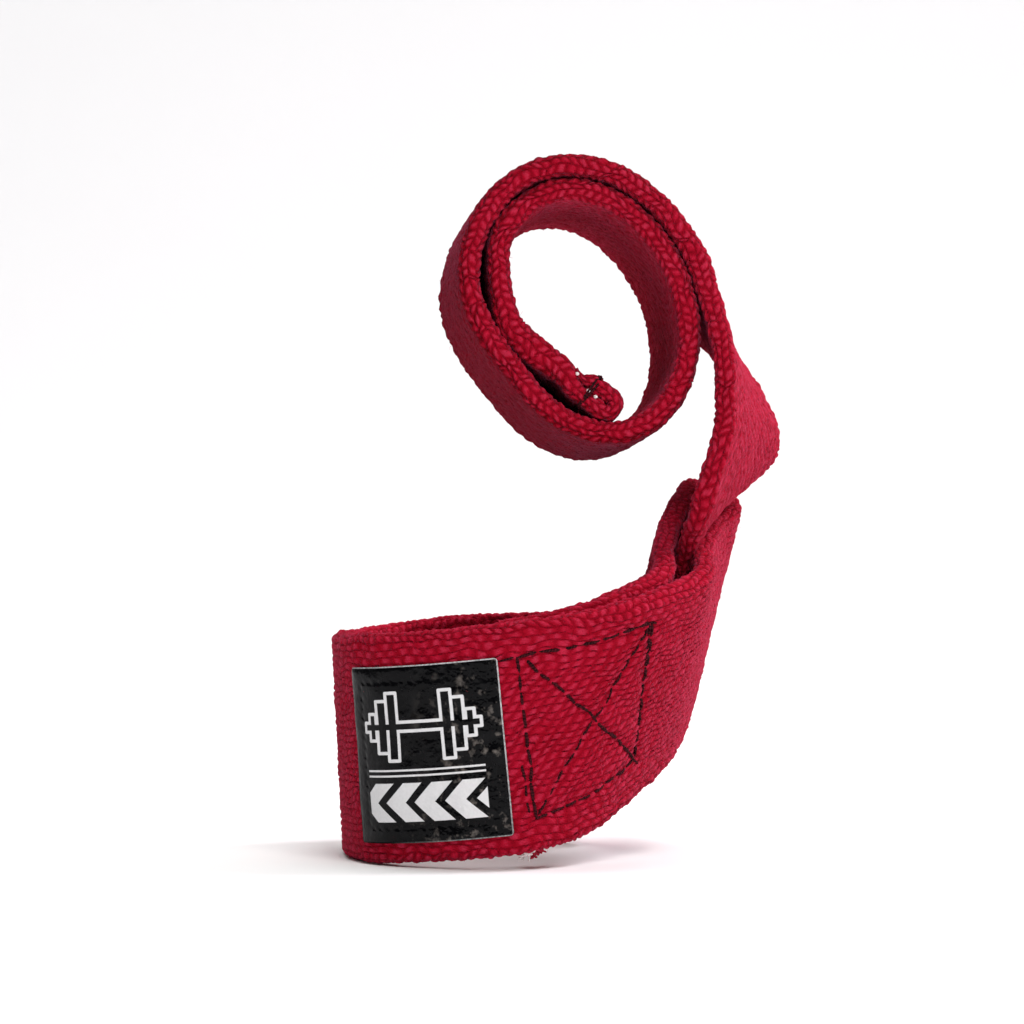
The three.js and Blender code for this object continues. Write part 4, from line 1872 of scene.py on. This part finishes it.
@dataclass(frozen=True)
class Lamp:
    """A soft square lamp that faces the object. Its place and side are in metres, its power in watts."""

    name: str
    place: tuple[float, float, float]
    side: float
    power: float
    tint: Colour = (1.0, 1.0, 1.0)

    def build(self, aim: tuple[float, float, float]) -> None:
        """Makes the lamp, turned to a place in metres."""
        data = bpy.data.lights.new(self.name, "AREA")
        data.shape, data.size, data.energy, data.color = "SQUARE", self.side, self.power, self.tint
        lamp = bpy.data.objects.new(self.name, data)
        lamp.location = self.place
        lamp.visible_camera = False
        lamp.rotation_euler = (Vector(aim) - Vector(self.place)).to_track_quat("-Z", "Y").to_euler()
        bpy.context.scene.collection.objects.link(lamp)


LAMPS = (
    Lamp("key", (0.30, -0.85, 1.0), 0.5, 9.6, (1.0, 0.985, 0.965)),
    Lamp("right", (1.0, 0.28, 0.95), 0.45, 14.6, (1.0, 0.93, 1.0)),
    Lamp("front", (-0.12, -1.0, 0.6), 0.5, 1.1, (0.98, 0.99, 1.0)),
    Lamp("low", (0.19, -0.95, 0.06), 0.09, 0.2, (1.0, 0.97, 0.93)),
    Lamp("backdrop", (0.0, 0.7, 2.4), 2.0, 46.0),
)


@dataclass(frozen=True)
class Studio:
    """Camera, lights and floor."""

    camera_place: tuple[float, float, float] = (5.84, -700.0, 38.2)
    aim: tuple[float, float, float] = (0.01, 0.0, 0.035)
    world_strength: float = 0.085
    focal_pixels: float = 4075.0
    photo_side: float = 1024.0
    sensor: float = 36.0
    sweep_front: float = -3.0
    sweep_back: float = 0.9
    sweep_radius: float = 0.9
    sweep_top: float = 3.0
    sweep_half_width: float = 3.5

    def camera(self) -> None:
        """The camera at the photograph's angle."""
        data = bpy.data.cameras.new("camera")
        data.sensor_width = self.sensor
        data.lens = self.focal_pixels / self.photo_side * self.sensor
        data.clip_start, data.clip_end = 0.01, 100.0
        camera = bpy.data.objects.new("camera", data)
        camera.location = Vector(self.camera_place) * MM
        camera.rotation_euler = (math.pi / 2, 0.0, 0.0)
        bpy.context.scene.collection.objects.link(camera)
        bpy.context.scene.camera = camera

    def sweep(self, height: float) -> None:
        """The pale floor at a height in metres, which curves up into a wall far behind."""
        turn = np.linspace(0.0, math.pi / 2, 25)
        y = np.concatenate([
            [self.sweep_front], self.sweep_back + self.sweep_radius * np.sin(turn),
            [self.sweep_back + self.sweep_radius],
        ])
        z = np.concatenate([[0.0], self.sweep_radius * (1.0 - np.cos(turn)), [self.sweep_top]]) + height
        sides = (-self.sweep_half_width, self.sweep_half_width)
        mesh = bpy.data.meshes.new("floor")
        points = [(x, float(a), float(b)) for a, b in zip(y, z) for x in sides]
        mesh.from_pydata(points, [], grid_faces(len(y), 2, False)[:, ::-1].tolist())
        mesh.shade_smooth()
        mesh.materials.append(FLOOR_PAINT.build())
        floor = bpy.data.objects.new("floor", mesh)
        bpy.context.scene.collection.objects.link(floor)
        floor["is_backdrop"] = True

    def world(self) -> None:
        """White surroundings that light the object softly."""
        world = bpy.data.worlds.new("studio")
        world.use_nodes = True
        background = world.node_tree.nodes["Background"]
        background.inputs["Color"].default_value = (1.0, 1.0, 1.0, 1.0)
        background.inputs["Strength"].default_value = self.world_strength
        bpy.context.scene.world = world

    def build(self, floor_height: float) -> None:
        """Sets the studio up.

        Args:
            floor_height: height of the floor, in metres.
        """
        self.camera()
        self.world()
        for lamp in LAMPS:
            lamp.build(self.aim)
        self.sweep(floor_height)
        bpy.context.scene.view_settings.view_transform = "Standard"


def main() -> None:
    """Builds the strap's pieces in order."""
    logging.basicConfig(level=logging.INFO, format="%(name)s: %(message)s")
    solid_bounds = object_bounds()
    Studio().build(solid_bounds[0].z)
    layout = StrapLayout(StrapRoute())
    weave = Weave()
    webbing = Webbing(layout, weave)
    label = Label(layout)
    loose = LooseThreads(webbing)
    pieces = webbing.build(WebbingFinish(weave).build())
    pieces.append(label.build(LabelFinish(label.length / 2, label.height / 2).build()))
    thread, pale, red = ThreadFinish().build(), PALE_COTTON.build(), RED_COTTON.build()
    pieces.append(BoxStitch(layout).build(thread))
    pieces.extend(HemTie(layout).build(thread, pale))
    pieces.extend(loose.fray(red, pale))
    pieces.append(loose.fibres(red))
    for piece in pieces:
        log.info("%s: %d faces", piece.name, len(piece.data.polygons))
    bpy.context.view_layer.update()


if __name__ == "__main__":
    main()
